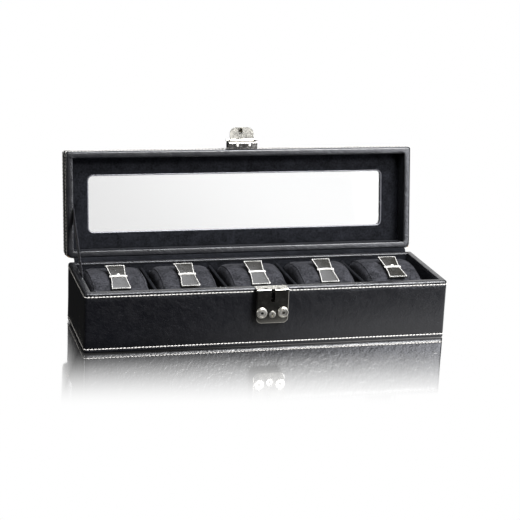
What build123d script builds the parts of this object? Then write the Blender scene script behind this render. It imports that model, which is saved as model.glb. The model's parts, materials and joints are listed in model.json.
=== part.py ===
from build123d import *

import os
from math import cos, radians, sin

# A hinged display box for five watches, standing open. Units are millimetres. X runs along the
# front, Y runs back, Z is up, and the origin is the centre of the felt that the box stands on.

# Driving dimensions
BOX_LENGTH = 340.0  # outside, over the leather
BOX_DEPTH = 100.0
BASE_TOP = 56.0  # height of the base's rim
LID_HEIGHT = 24.3
LID_OPEN = 99.4  # degrees that the lid stands open, held by the ribbon
HASP_OPEN = 90.0  # degrees that the hasp stands out from its closed place
COMPARTMENTS = 5

# Sheet and board stock
BOARD = 4.2
THIN_BOARD = 3.0
LEATHER = 1.0
LINING = 1.3
FELT = 1.2
FELT_INSET = 7.0
CORNER = 2.5  # radius of the box's upright corners
LEATHER_EDGE = 0.6
LIP = 3.0  # how far the leather turns down inside a rim
RIM_GAP = 0.2  # between the two rims when the lid is down
WALL = LEATHER + BOARD + LINING
INNER_LENGTH = BOX_LENGTH - 2 * WALL
INNER_DEPTH = BOX_DEPTH - 2 * WALL
CORE_LENGTH = BOX_LENGTH - 2 * LEATHER  # over the boards
CORE_DEPTH = BOX_DEPTH - 2 * LEATHER
WELL_LENGTH = CORE_LENGTH - 2 * BOARD  # between the boards
WELL_DEPTH = CORE_DEPTH - 2 * BOARD
FLOOR_BOTTOM = FELT
FLOOR_TOP = FLOOR_BOTTOM + THIN_BOARD
FLOOR_LINED = FLOOR_TOP + LINING

# Lid, in levels above its own rim
LID_BOARD_TOP = LID_HEIGHT - LEATHER
LID_BOARD_BOTTOM = LID_BOARD_TOP - THIN_BOARD
PANEL = 3.8  # velvet covered panel that frames and holds the glass
GLASS = 2.0
PANEL_BOTTOM = LID_BOARD_BOTTOM - PANEL
GLASS_BOTTOM = LID_BOARD_BOTTOM - GLASS
WINDOW_LENGTH = 293.0
WINDOW_DEPTH = 55.0
WINDOW_AT = (-1.0, 1.0)  # the window's centre, a little left and towards the hinges
WINDOW_CORNER = 5.0
BOARD_WINDOW_MARGIN = 1.0
GLASS_REBATE = 6.0  # how far the glass runs under the panel on each side
GLASS_SLACK = 0.2

# Dividers and cushions
DIVIDER = 3.0
DIVIDER_TOP = 50.5
DIVIDER_DRIFT = -2.5  # the dividers stand a little left of even spacing
DIVIDER_ROUND = 1.2
CUSHION_LENGTH = 56.0
CUSHION_DEPTH = 81.0
CUSHION_GAP = 1.4  # from the wall or divider on its left
CUSHION_LIFT = 0.2  # above the floor lining
CUSHION_FRONT = 49.0
CUSHION_BACK = 51.0
CUSHION_CROWN = 60.5
CROWN_Y = 2.0
CUSHION_ROUND = 5.0
VELVET = 1.2
TAB_THICK = 1.4
TAB_FRONT = (-34.0, 54.6)  # y and z down the middle of the tab's thickness
TAB_WAIST = (-15.5, 60.1)
TAB_BACK = (3.0, 65.0)
TAB_HALF_WAIST = 7.2
TAB_HALF_END = 9.1
TAB_ROUND = 1.5

# Hinges
HINGE_Y = BOX_DEPTH / 2 + 3.0
HINGE_Z = BASE_TOP - 0.9
HINGE_AT = 105.0  # distance of each hinge from the middle
LEAF_LENGTH = 36.0
LEAF_HEIGHT = 13.0
LEAF = 1.0
KNUCKLE_RADIUS = 2.4
KNUCKLE_HALF = 6.0  # half the length of the lid's middle knuckle
KNUCKLE_GAP = 0.2
KNUCKLE_RELIEF = 0.35
PIN_RADIUS = 1.1
PIN_CLEARANCE = 0.05
SCREW_RADIUS = 1.2
SCREW_HEAD_RADIUS = 2.0
SCREW_HEAD = 0.6
SCREW_DEPTH = 5.0
SCREW_SPACING = 22.0
SCREW_FROM_AXIS = 8.5

# Lock on the base: a nickel case with a key cylinder and a sliding bolt
LOCK_WIDTH = 30.0
LOCK_HEIGHT = 32.0
LOCK_PROUD = 7.2
LOCK_CORNER = 5.0
LOCK_WALL = 1.0
LOCK_TOP_WALL = 0.8
LOCK_EDGE = 0.8
LOCK_FLANGE = 5.0  # how far the case laps over the rim
BACK_PLATE = 0.6
PLATE_FIT = 0.1
SLOT_HALF = 1.9
SLOT_LENGTH = 11.8
SLOT_NOTCH = 1.5  # how far the slot cuts back into the case's top
KEY_Z = 32.5
KEY_RADIUS = 3.1
KEY_PROUD = 0.5
KEYHOLE_RADIUS = 0.9
KEYHOLE_RISE = 0.4
KEYHOLE_LENGTH = 2.4
KEYHOLE_DEPTH = 2.0
COLLAR_RADIUS = 4.0
COLLAR_BOTTOM = 5.0  # these three are heights above the leather
DISC_BOTTOM = 4.2
PEG_BOTTOM = 2.0
DISC_RADIUS = 5.2
PEG_RADIUS = 0.8
PEG_ARM = 4.2
PEG_REACH = PEG_ARM * sin(radians(45))
RIVET_X = 10.0
RIVET_Z = 34.2
RIVET_HEAD_RADIUS = 5.0
RIVET_HEAD = 1.6
RIVET_ROUND = 1.1
RIVET_RADIUS = 2.0
RIVET_BORE = 1.3
RIVET_GROOVE = (3.0, 3.5)  # radii
RIVET_GROOVE_DEPTH = 0.4
BOLT_BACK = 2.4  # the bolt lies between these heights above the leather
BOLT_THICK = 1.2
NOSE_BOTTOM = 52.3
NOSE_TOP = 54.1
NOSE_TIP = 1.2
LEG_LEFT = 7.0
LEG_RIGHT = 9.2
LEG_FOOT = 41.0
ARM_TOP = 42.0
FORK_HALF = 2.1
FORK_BOTTOM = 34.5
FORK_SLOT_HALF = 1.05
FORK_SLOT_TOP = 38.2
SPRING_LEFT = -2.0
SPRING_RIGHT = 10.0
SPRING_THICK = 0.3
SPRING_BOTTOM = 39.0
SPRING_HEIGHT = 2.0
SPRING_GAP = 0.05
GUIDE_PIN_X = 6.0
GUIDE_PIN_PROUD = 3.6
GUIDE_PIN_RADIUS = 1.5
GUIDE_PIN_LENGTH = 1.6
GUIDE_HOLE_RADIUS = 1.65

# Lock on the lid: a shorter case that carries the hasp
LID_LOCK_WIDTH = 28.0
LID_LOCK_HEIGHT = 14.0
LID_LOCK_PROUD = 6.6
LID_LOCK_CORNER = 4.0
HASP_LEVEL = 6.0  # the hasp's axis above the lid's rim
HASP_PROUD = 8.6
HASP_HALF_WIDTH = 11.6
HASP_LENGTH = 12.0
HASP_CORNER = 6.0
HASP_THICK = 1.2
HASP_FACE = 0.1  # the plate's outer face, outside the axis
HASP_BARREL = 1.6
HASP_PIN_RADIUS = 0.8
EAR = 2.0
EAR_RADIUS = 1.8
KNOB_RADIUS = 1.4
KNOB = 1.2
STAPLE_HALF = 0.9
STAPLE_TOP = -7.2  # from the hasp's axis, towards its free end
STAPLE_END = -11.4
STAPLE_REACH = 7.4  # from the axis, into the base's lock
EYE = (-7.7, -10.3)
EYE_NEAR = 4.5
EYE_FAR = 6.7

# Ribbon that holds the lid
RIBBON_WIDTH = 10.0
RIBBON_THICK = 0.6
RIBBON_BASE = (0.0, 49.0)  # y and z on the base's left wall
RIBBON_LID = (-4.0, 12.0)  # y and level on the lid's left wall, with the lid down


def opened(y, z, degrees):
    """A direction in the YZ plane, turned the way that the lid opens."""
    turn = radians(degrees)
    return (y * cos(turn) + z * sin(turn), z * cos(turn) - y * sin(turn))


def save(piece, name):
    """Labels a finished piece and writes it as the node of that name."""
    piece.part.label = name
    export_step(piece.part, f"parts/{name}.step")


# Planes that the sub-parts are drawn on. The lid's sketches use the places that its pieces have
# with the lid down, because its plane carries them to where they are with the lid open.
seat_y, seat_z = opened(-HINGE_Y, BASE_TOP + RIM_GAP - HINGE_Z, LID_OPEN)
up_y, up_z = opened(0, 1, LID_OPEN)
LID_RIM = Plane(origin=(0, HINGE_Y + seat_y, HINGE_Z + seat_z), x_dir=(1, 0, 0), z_dir=(0, up_y, up_z))
BASE_FLOOR = Plane.XY
BASE_FRONT = Plane(origin=(0, -BOX_DEPTH / 2, 0), x_dir=(1, 0, 0), z_dir=(0, -1, 0))
BASE_BACK = Plane(origin=(0, BOX_DEPTH / 2, 0), x_dir=(-1, 0, 0), z_dir=(0, 1, 0))
LID_FRONT = Plane(
    origin=LID_RIM.from_local_coords((0, -BOX_DEPTH / 2, 0)), x_dir=(1, 0, 0), z_dir=-LID_RIM.y_dir
)
LID_LOCK_SEAT = Plane(origin=LID_FRONT.origin, x_dir=(1, 0, 0), z_dir=LID_RIM.z_dir)
LID_BACK = Plane(
    origin=LID_RIM.from_local_coords((0, BOX_DEPTH / 2, 0)), x_dir=(-1, 0, 0), z_dir=LID_RIM.y_dir
)
LID_SIDE = Plane(origin=LID_RIM.origin, x_dir=LID_RIM.y_dir, z_dir=(1, 0, 0))
hasp_y, hasp_z = opened(-1, 0, LID_OPEN + HASP_OPEN)
HASP = Plane(
    origin=LID_FRONT.from_local_coords((0, HASP_LEVEL, HASP_PROUD)),
    x_dir=(1, 0, 0),
    z_dir=(0, hasp_y, hasp_z),
)
HASP_SIDE = Plane(origin=HASP.origin, x_dir=-HASP.z_dir, z_dir=(1, 0, 0))

LID_UP = Axis(LID_RIM.origin, LID_RIM.z_dir)
LID_FORWARD = Axis(LID_FRONT.origin, LID_FRONT.z_dir)

os.makedirs("parts", exist_ok=True)

RIVET_PLACES = [(-RIVET_X, RIVET_Z), (RIVET_X, RIVET_Z)]
BASE_SCREW_Z = HINGE_Z - SCREW_FROM_AXIS
LID_SCREW_LEVEL = SCREW_FROM_AXIS - (BASE_TOP + RIM_GAP - HINGE_Z)


def screw_places(height):
    """The places of the four hinge screws along the back, at one height."""
    steps = (-SCREW_SPACING / 2, SCREW_SPACING / 2)
    return [(side * HINGE_AT + step, height) for side in (-1, 1) for step in steps]


# Boards of the base and of the lid's frame
def flat_piece(name, plane, bottom, top, centre, size):
    """A rectangular piece of sheet or board between two levels."""
    with BuildPart() as piece:
        with BuildSketch(plane.offset(bottom)):
            with Locations(centre):
                Rectangle(*size)
        extrude(amount=top - bottom)
    save(piece, name)


def drilled_board(name, plane, levels, y, wall, holes, radius):
    """A long board, drilled for what is fastened through it from outside."""
    with BuildPart() as piece:
        with BuildSketch(plane.offset(levels[0])):
            with Locations((0, y)):
                Rectangle(CORE_LENGTH, BOARD)
        extrude(amount=levels[1] - levels[0])
        with BuildSketch(wall.offset(-LEATHER)):
            with Locations(*holes):
                Circle(radius)
        extrude(amount=-BOARD, mode=Mode.SUBTRACT)
    save(piece, name)


BOARD_Y = CORE_DEPTH / 2 - BOARD / 2
BOARD_X = CORE_LENGTH / 2 - BOARD / 2
BASE_BOARD_TOP = BASE_TOP - LEATHER

flat_piece("base_bottom_board", BASE_FLOOR, FLOOR_BOTTOM, FLOOR_TOP, (0, 0), (CORE_LENGTH, CORE_DEPTH))
for word, side in (("left", -1), ("right", 1)):
    centre = (side * BOARD_X, 0)
    size = (BOARD, WELL_DEPTH)
    flat_piece(f"base_{word}_board", BASE_FLOOR, FLOOR_TOP, BASE_BOARD_TOP, centre, size)
    flat_piece(f"lid_{word}_board", LID_RIM, LEATHER, LID_BOARD_BOTTOM, centre, size)
base_levels = (FLOOR_TOP, BASE_BOARD_TOP)
lid_levels = (LEATHER, LID_BOARD_BOTTOM)
base_screws = screw_places(BASE_SCREW_Z)
lid_screws = screw_places(LID_SCREW_LEVEL)
drilled_board("base_front_board", BASE_FLOOR, base_levels, -BOARD_Y, BASE_FRONT, RIVET_PLACES, RIVET_RADIUS)
drilled_board("base_back_board", BASE_FLOOR, base_levels, BOARD_Y, BASE_BACK, base_screws, SCREW_RADIUS)
drilled_board("lid_back_board", LID_RIM, lid_levels, BOARD_Y, LID_BACK, lid_screws, SCREW_RADIUS)
flat_piece("lid_front_board", LID_RIM, *lid_levels, (0, -BOARD_Y), (CORE_LENGTH, BOARD))

# Leather over the base: outer skin, cover of the rim and a lip turned down inside it
with BuildPart() as base_leather:
    with BuildSketch(BASE_FLOOR.offset(FLOOR_BOTTOM)):
        RectangleRounded(BOX_LENGTH, BOX_DEPTH, CORNER)
    extrude(amount=BASE_TOP - FLOOR_BOTTOM)
    fillet(base_leather.edges().group_by(Axis.Z)[-1], LEATHER_EDGE)
    with BuildSketch(BASE_FLOOR.offset(FLOOR_BOTTOM)):
        Rectangle(CORE_LENGTH, CORE_DEPTH)
    extrude(amount=BASE_BOARD_TOP - FLOOR_BOTTOM, mode=Mode.SUBTRACT)
    with BuildSketch(BASE_FLOOR.offset(BASE_TOP - LIP)):
        Rectangle(WELL_LENGTH, WELL_DEPTH)
    extrude(amount=LIP)
    with BuildSketch(BASE_FLOOR.offset(FLOOR_BOTTOM)):
        Rectangle(INNER_LENGTH, INNER_DEPTH)
    extrude(amount=BASE_TOP - FLOOR_BOTTOM, mode=Mode.SUBTRACT)
    with BuildSketch(BASE_FRONT):
        with Locations((0, BASE_TOP - LOCK_TOP_WALL / 2)):
            Rectangle(LOCK_WIDTH, LOCK_TOP_WALL)
    extrude(amount=-LOCK_FLANGE, mode=Mode.SUBTRACT)
    with BuildSketch(BASE_FRONT):
        with Locations(*RIVET_PLACES):
            Circle(RIVET_RADIUS)
    extrude(amount=-LEATHER, mode=Mode.SUBTRACT)
    with BuildSketch(BASE_BACK):
        with Locations(*base_screws):
            Circle(SCREW_RADIUS)
    extrude(amount=-LEATHER, mode=Mode.SUBTRACT)
save(base_leather, "base_leather")

# Felt that the box stands on, and the velvet linings
felt_size = (BOX_LENGTH - 2 * FELT_INSET, BOX_DEPTH - 2 * FELT_INSET)
flat_piece("base_underside_felt", BASE_FLOOR, 0, FELT, (0, 0), felt_size)
flat_piece("base_floor_lining", BASE_FLOOR, FLOOR_TOP, FLOOR_LINED, (0, 0), (WELL_LENGTH, WELL_DEPTH))


def wall_lining(name, plane, bottom, top):
    """A velvet strip that runs round the inside of the four walls."""
    with BuildPart() as piece:
        with BuildSketch(plane.offset(bottom)):
            Rectangle(WELL_LENGTH, WELL_DEPTH)
            Rectangle(INNER_LENGTH, INNER_DEPTH, mode=Mode.SUBTRACT)
        extrude(amount=top - bottom)
    save(piece, name)


wall_lining("base_wall_lining", BASE_FLOOR, FLOOR_LINED, BASE_TOP - LIP)
wall_lining("lid_wall_lining", LID_RIM, LIP, LID_BOARD_BOTTOM)

# Dividers, velvet covered card with a rounded top edge
DIVIDER_STEP = (INNER_LENGTH + DIVIDER) / COMPARTMENTS
divider_places = [
    (number - COMPARTMENTS / 2) * DIVIDER_STEP + DIVIDER_DRIFT for number in range(1, COMPARTMENTS)
]
for number, place in enumerate(divider_places, 1):
    with BuildPart() as divider:
        with BuildSketch(BASE_FLOOR.offset(FLOOR_LINED)):
            with Locations((place, 0)):
                Rectangle(DIVIDER, INNER_DEPTH)
        extrude(amount=DIVIDER_TOP - FLOOR_LINED)
        fillet(divider.faces().sort_by(Axis.Z)[-1].edges().filter_by(Axis.Y), DIVIDER_ROUND)
    save(divider, f"divider_{number}")

# Lid: leather round the sides, boards, leather top, inner panel and glass
with BuildPart() as lid_side_leather:
    with BuildSketch(LID_RIM):
        RectangleRounded(BOX_LENGTH, BOX_DEPTH, CORNER)
    extrude(amount=LID_BOARD_TOP)
    with BuildSketch(LID_RIM.offset(LEATHER)):
        Rectangle(CORE_LENGTH, CORE_DEPTH)
    extrude(amount=LID_BOARD_TOP - LEATHER, mode=Mode.SUBTRACT)
    with BuildSketch(LID_RIM):
        Rectangle(WELL_LENGTH, WELL_DEPTH)
    extrude(amount=LIP)
    with BuildSketch(LID_RIM):
        Rectangle(INNER_LENGTH, INNER_DEPTH)
    extrude(amount=LIP, mode=Mode.SUBTRACT)
    with BuildSketch(LID_BACK):
        with Locations(*lid_screws):
            Circle(SCREW_RADIUS)
    extrude(amount=-LEATHER, mode=Mode.SUBTRACT)
save(lid_side_leather, "lid_side_leather")

with BuildPart() as lid_top_board:
    with BuildSketch(LID_RIM.offset(LID_BOARD_BOTTOM)):
        Rectangle(CORE_LENGTH, CORE_DEPTH)
        with Locations(WINDOW_AT):
            RectangleRounded(
                WINDOW_LENGTH + 2 * BOARD_WINDOW_MARGIN,
                WINDOW_DEPTH + 2 * BOARD_WINDOW_MARGIN,
                WINDOW_CORNER,
                mode=Mode.SUBTRACT,
            )
    extrude(amount=THIN_BOARD)
save(lid_top_board, "lid_top_board")

with BuildPart() as lid_top_leather:
    with BuildSketch(LID_RIM.offset(LID_BOARD_TOP)):
        RectangleRounded(BOX_LENGTH, BOX_DEPTH, CORNER)
    extrude(amount=LEATHER)
    fillet(lid_top_leather.faces().sort_by(LID_UP)[-1].edges(), LEATHER_EDGE)
    with BuildSketch(LID_RIM.offset(LID_BOARD_TOP)):
        with Locations(WINDOW_AT):
            RectangleRounded(WINDOW_LENGTH, WINDOW_DEPTH, WINDOW_CORNER)
    extrude(amount=LEATHER, mode=Mode.SUBTRACT)
save(lid_top_leather, "lid_top_leather")

GLASS_LENGTH = WINDOW_LENGTH + 2 * GLASS_REBATE
GLASS_DEPTH = WINDOW_DEPTH + 2 * GLASS_REBATE
with BuildPart() as lid_inner_panel:
    with BuildSketch(LID_RIM.offset(PANEL_BOTTOM)):
        Rectangle(INNER_LENGTH, INNER_DEPTH)
        with Locations(WINDOW_AT):
            RectangleRounded(WINDOW_LENGTH, WINDOW_DEPTH, WINDOW_CORNER, mode=Mode.SUBTRACT)
    extrude(amount=PANEL)
    with BuildSketch(LID_RIM.offset(GLASS_BOTTOM)):
        with Locations(WINDOW_AT):
            Rectangle(GLASS_LENGTH, GLASS_DEPTH)
    extrude(amount=GLASS, mode=Mode.SUBTRACT)
save(lid_inner_panel, "lid_inner_panel")
flat_piece(
    "lid_glass",
    LID_RIM,
    GLASS_BOTTOM,
    LID_BOARD_BOTTOM,
    WINDOW_AT,
    (GLASS_LENGTH - 2 * GLASS_SLACK, GLASS_DEPTH - 2 * GLASS_SLACK),
)

# Hinges: a base leaf with two knuckles, a lid leaf with one between them, and a pin
LID_AXIS = (HINGE_Y, HINGE_Z - BASE_TOP - RIM_GAP)
LEAF_Y = BOX_DEPTH / 2 + LEAF / 2
LEAF_START = 0.15  # from the axis to the near edge of each leaf
KNUCKLE_CUT = KNUCKLE_RADIUS + KNUCKLE_RELIEF
for word, side in (("left", -1), ("right", 1)):
    left_end = side * HINGE_AT - LEAF_LENGTH / 2
    middle_start = side * HINGE_AT - KNUCKLE_HALF
    with BuildPart() as base_leaf:
        with BuildSketch(Plane.YZ.offset(left_end)):
            with Locations((LEAF_Y, HINGE_Z - LEAF_START - LEAF_HEIGHT / 2)):
                Rectangle(LEAF, LEAF_HEIGHT)
            with Locations((HINGE_Y, HINGE_Z)):
                Circle(KNUCKLE_RADIUS)
        extrude(amount=LEAF_LENGTH)
        with BuildSketch(Plane.YZ.offset(middle_start - KNUCKLE_GAP)):
            with Locations((HINGE_Y, HINGE_Z)):
                Circle(KNUCKLE_CUT)
        extrude(amount=2 * (KNUCKLE_HALF + KNUCKLE_GAP), mode=Mode.SUBTRACT)
        with BuildSketch(Plane.YZ.offset(left_end)):
            with Locations((HINGE_Y, HINGE_Z)):
                Circle(PIN_RADIUS)
        extrude(amount=LEAF_LENGTH, mode=Mode.SUBTRACT)
        with BuildSketch(BASE_BACK):
            with Locations(*base_screws):
                Circle(SCREW_RADIUS)
        extrude(amount=LEAF, mode=Mode.SUBTRACT)
    save(base_leaf, f"hinge_{word}_base_leaf")

    with BuildPart() as lid_leaf:
        with BuildSketch(LID_SIDE.offset(left_end)):
            with Locations((LEAF_Y, LID_AXIS[1] + LEAF_START + LEAF_HEIGHT / 2)):
                Rectangle(LEAF, LEAF_HEIGHT)
        extrude(amount=LEAF_LENGTH)
        with BuildSketch(LID_SIDE.offset(left_end)):
            with Locations(LID_AXIS):
                Circle(KNUCKLE_CUT)
        extrude(amount=LEAF_LENGTH, mode=Mode.SUBTRACT)
        with BuildSketch(LID_SIDE.offset(middle_start)):
            with Locations((LEAF_Y, LID_AXIS[1] + LEAF_START + LEAF_HEIGHT / 2)):
                Rectangle(LEAF, LEAF_HEIGHT)
            with Locations(LID_AXIS):
                Circle(KNUCKLE_RADIUS)
        extrude(amount=2 * KNUCKLE_HALF)
        with BuildSketch(LID_SIDE.offset(middle_start)):
            with Locations(LID_AXIS):
                Circle(PIN_RADIUS + PIN_CLEARANCE)
        extrude(amount=2 * KNUCKLE_HALF, mode=Mode.SUBTRACT)
        with BuildSketch(LID_BACK):
            with Locations(*lid_screws):
                Circle(SCREW_RADIUS)
        extrude(amount=LEAF, mode=Mode.SUBTRACT)
    save(lid_leaf, f"hinge_{word}_lid_leaf")

    with BuildPart() as hinge_pin:
        with BuildSketch(Plane.YZ.offset(left_end)):
            with Locations((HINGE_Y, HINGE_Z)):
                Circle(PIN_RADIUS)
        extrude(amount=LEAF_LENGTH)
    save(hinge_pin, f"hinge_{word}_pin")


def hinge_screws(name, wall, places):
    """Four round headed screws, through both leaves on one side of the hinges."""
    with BuildPart() as piece:
        with BuildSketch(wall.offset(LEAF)):
            with Locations(*places):
                Circle(SCREW_HEAD_RADIUS)
        extrude(amount=SCREW_HEAD)
        fillet(piece.faces().sort_by(Axis(wall.origin, wall.z_dir))[-4:].edges(), SCREW_HEAD / 2)
        with BuildSketch(wall.offset(LEAF)):
            with Locations(*places):
                Circle(SCREW_RADIUS)
        extrude(amount=-SCREW_DEPTH)
    save(piece, name)


hinge_screws("hinge_base_screws", BASE_BACK, base_screws)
hinge_screws("hinge_lid_screws", LID_BACK, lid_screws)


# Base lock
LOCK_BOTTOM = BASE_TOP - LOCK_HEIGHT
LOCK_INNER_TOP = BASE_TOP - LOCK_TOP_WALL
LOCK_INSIDE = LOCK_PROUD - LOCK_WALL
GUIDE_PLACES = [(-GUIDE_PIN_X, -GUIDE_PIN_PROUD), (GUIDE_PIN_X, -GUIDE_PIN_PROUD)]


def lock_outline(plane, width, bottom, top, rounded, corner):
    """A plate's outline on a plane, with two corners rounded: the lower two, or the upper two."""
    with BuildSketch(plane) as outline:
        with Locations((0, (bottom + top) / 2)):
            Rectangle(width, top - bottom)
        fillet(outline.vertices().group_by(Axis.Y)[rounded], corner)
    return outline.sketch


LOWER = 0
UPPER = -1
lock_face = lock_outline(BASE_FRONT, LOCK_WIDTH, LOCK_BOTTOM, BASE_TOP, LOWER, LOCK_CORNER)
lock_room = lock_outline(
    BASE_FRONT,
    LOCK_WIDTH - 2 * LOCK_WALL,
    LOCK_BOTTOM + LOCK_WALL,
    LOCK_INNER_TOP,
    LOWER,
    LOCK_CORNER - LOCK_WALL,
)
back_plate_face = lock_outline(
    BASE_FRONT,
    LOCK_WIDTH - 2 * (LOCK_WALL + PLATE_FIT),
    LOCK_BOTTOM + LOCK_WALL + PLATE_FIT,
    LOCK_INNER_TOP - PLATE_FIT,
    LOWER,
    LOCK_CORNER - LOCK_WALL,
)

with BuildPart() as lock_case:
    extrude(lock_face, amount=LOCK_PROUD)
    fillet(lock_case.faces().sort_by(Axis.Y)[0].edges(), LOCK_EDGE)
    extrude(lock_room, amount=LOCK_INSIDE, mode=Mode.SUBTRACT)
    with BuildSketch(BASE_FRONT):
        with Locations((0, BASE_TOP - LOCK_TOP_WALL / 2)):
            Rectangle(LOCK_WIDTH, LOCK_TOP_WALL)
    extrude(amount=-LOCK_FLANGE)
    with BuildSketch(BASE_FRONT.offset(LOCK_PROUD - SLOT_NOTCH)):
        with Locations((0, BASE_TOP - SLOT_LENGTH / 2)):
            Rectangle(2 * SLOT_HALF, SLOT_LENGTH)
    extrude(amount=SLOT_NOTCH, mode=Mode.SUBTRACT)
    with BuildSketch(BASE_FRONT.offset(LOCK_INSIDE)):
        with Locations(*RIVET_PLACES):
            Circle(RIVET_RADIUS)
        with Locations((0, KEY_Z)):
            Circle(KEY_RADIUS + PIN_CLEARANCE)
    extrude(amount=LOCK_WALL, mode=Mode.SUBTRACT)
    with BuildSketch(Plane(origin=(0, -BOX_DEPTH / 2, BASE_TOP))):
        with Locations(*GUIDE_PLACES):
            Circle(GUIDE_HOLE_RADIUS)
    extrude(amount=-LOCK_TOP_WALL, mode=Mode.SUBTRACT)
save(lock_case, "lock_case")

with BuildPart() as lock_back_plate:
    extrude(back_plate_face, amount=BACK_PLATE)
    with BuildSketch(BASE_FRONT):
        with Locations(*RIVET_PLACES):
            Circle(RIVET_RADIUS)
    extrude(amount=BACK_PLATE, mode=Mode.SUBTRACT)
save(lock_back_plate, "lock_back_plate")

# Two tubular rivets with ringed, domed heads hold the case to the front
with BuildPart() as lock_rivets:
    with BuildSketch(BASE_FRONT.offset(LOCK_PROUD)):
        with Locations(*RIVET_PLACES):
            Circle(RIVET_HEAD_RADIUS)
    extrude(amount=RIVET_HEAD)
    fillet(lock_rivets.faces().sort_by(Axis.Y)[:2].edges(), RIVET_ROUND)
    with BuildSketch(BASE_FRONT.offset(LOCK_PROUD + RIVET_HEAD)):
        with Locations(*RIVET_PLACES):
            Circle(RIVET_GROOVE[1])
            Circle(RIVET_GROOVE[0], mode=Mode.SUBTRACT)
    extrude(amount=-RIVET_GROOVE_DEPTH, mode=Mode.SUBTRACT)
    with BuildSketch(BASE_FRONT.offset(LOCK_PROUD)):
        with Locations(*RIVET_PLACES):
            Circle(RIVET_RADIUS)
    extrude(amount=-(LOCK_PROUD + LEATHER + BOARD))
    with BuildSketch(BASE_FRONT.offset(LOCK_PROUD + RIVET_HEAD)):
        with Locations(*RIVET_PLACES):
            Circle(RIVET_BORE)
    extrude(amount=-(LOCK_PROUD + RIVET_HEAD + LEATHER + BOARD), mode=Mode.SUBTRACT)
save(lock_rivets, "lock_rivets")

# Key cylinder: keyhole in front, collar inside the case, and a disc whose peg moves the bolt
with BuildPart() as key_cylinder:
    with BuildSketch(BASE_FRONT.offset(COLLAR_BOTTOM)):
        with Locations((0, KEY_Z)):
            Circle(KEY_RADIUS)
    extrude(amount=LOCK_PROUD + KEY_PROUD - COLLAR_BOTTOM)
    fillet(key_cylinder.faces().sort_by(Axis.Y)[0].edges(), KEY_PROUD / 2)
    with BuildSketch(BASE_FRONT.offset(LOCK_PROUD + KEY_PROUD)):
        with Locations((0, KEY_Z + KEYHOLE_RISE)):
            Circle(KEYHOLE_RADIUS)
        with Locations((0, KEY_Z + KEYHOLE_RISE - KEYHOLE_LENGTH / 2)):
            Rectangle(KEYHOLE_RADIUS, KEYHOLE_LENGTH)
    extrude(amount=-KEYHOLE_DEPTH, mode=Mode.SUBTRACT)
    with BuildSketch(BASE_FRONT.offset(COLLAR_BOTTOM)):
        with Locations((0, KEY_Z)):
            Circle(COLLAR_RADIUS)
    extrude(amount=LOCK_INSIDE - PIN_CLEARANCE - COLLAR_BOTTOM)
    with BuildSketch(BASE_FRONT.offset(DISC_BOTTOM)):
        with Locations((0, KEY_Z)):
            Circle(DISC_RADIUS)
    extrude(amount=COLLAR_BOTTOM - DISC_BOTTOM)
    with BuildSketch(BASE_FRONT.offset(PEG_BOTTOM)):
        with Locations((PEG_REACH, KEY_Z + PEG_REACH)):
            Circle(PEG_RADIUS)
    extrude(amount=DISC_BOTTOM - PEG_BOTTOM)
save(key_cylinder, "lock_key_cylinder")

# Bolt: a nose that slides across the slot, a leg that clears the staple, and a fork on the peg
with BuildPart() as lock_bolt:
    with BuildSketch(BASE_FRONT.offset(BOLT_BACK)):
        with BuildLine():
            Polyline(
                (NOSE_TIP, NOSE_BOTTOM),
                (LEG_LEFT, NOSE_BOTTOM),
                (LEG_LEFT, ARM_TOP),
                (PEG_REACH - FORK_HALF, ARM_TOP),
                (PEG_REACH - FORK_HALF, FORK_BOTTOM),
                (PEG_REACH - FORK_SLOT_HALF, FORK_BOTTOM),
                (PEG_REACH - FORK_SLOT_HALF, FORK_SLOT_TOP),
                (PEG_REACH + FORK_SLOT_HALF, FORK_SLOT_TOP),
                (PEG_REACH + FORK_SLOT_HALF, FORK_BOTTOM),
                (PEG_REACH + FORK_HALF, FORK_BOTTOM),
                (PEG_REACH + FORK_HALF, FORK_SLOT_TOP),
                (LEG_RIGHT, LEG_FOOT),
                (LEG_RIGHT, NOSE_TOP),
                (NOSE_TIP, NOSE_TOP),
                close=True,
            )
        make_face()
    extrude(amount=BOLT_THICK)
save(lock_bolt, "lock_bolt")

# Bowed strip of spring steel behind the bolt, which holds it where the key leaves it
spring_foot = -BOX_DEPTH / 2 - BACK_PLATE - SPRING_THICK / 2 - SPRING_GAP
spring_peak = -BOX_DEPTH / 2 - BOLT_BACK + SPRING_THICK
with BuildPart() as lock_detent_spring:
    with BuildSketch(BASE_FLOOR.offset(SPRING_BOTTOM)):
        with BuildLine() as bow:
            ThreePointArc(
                (SPRING_LEFT, spring_foot),
                ((SPRING_LEFT + SPRING_RIGHT) / 2, spring_peak),
                (SPRING_RIGHT, spring_foot),
            )
        trace(line_width=SPRING_THICK)
    extrude(amount=SPRING_HEIGHT)
save(lock_detent_spring, "lock_detent_spring")

# Lid lock: case with two ears, guide pins, hasp and the pin that the hasp swings on
lid_lock_face = lock_outline(LID_FRONT, LID_LOCK_WIDTH, 0, LID_LOCK_HEIGHT, UPPER, LID_LOCK_CORNER)
lid_lock_room = lock_outline(
    LID_FRONT,
    LID_LOCK_WIDTH - 2 * LOCK_WALL,
    LOCK_WALL,
    LID_LOCK_HEIGHT - LOCK_WALL,
    UPPER,
    LID_LOCK_CORNER - LOCK_WALL,
)
hasp_face = lock_outline(
    HASP.offset(HASP_FACE), 2 * HASP_HALF_WIDTH, -HASP_LENGTH, 0, LOWER, HASP_CORNER
)

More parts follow.
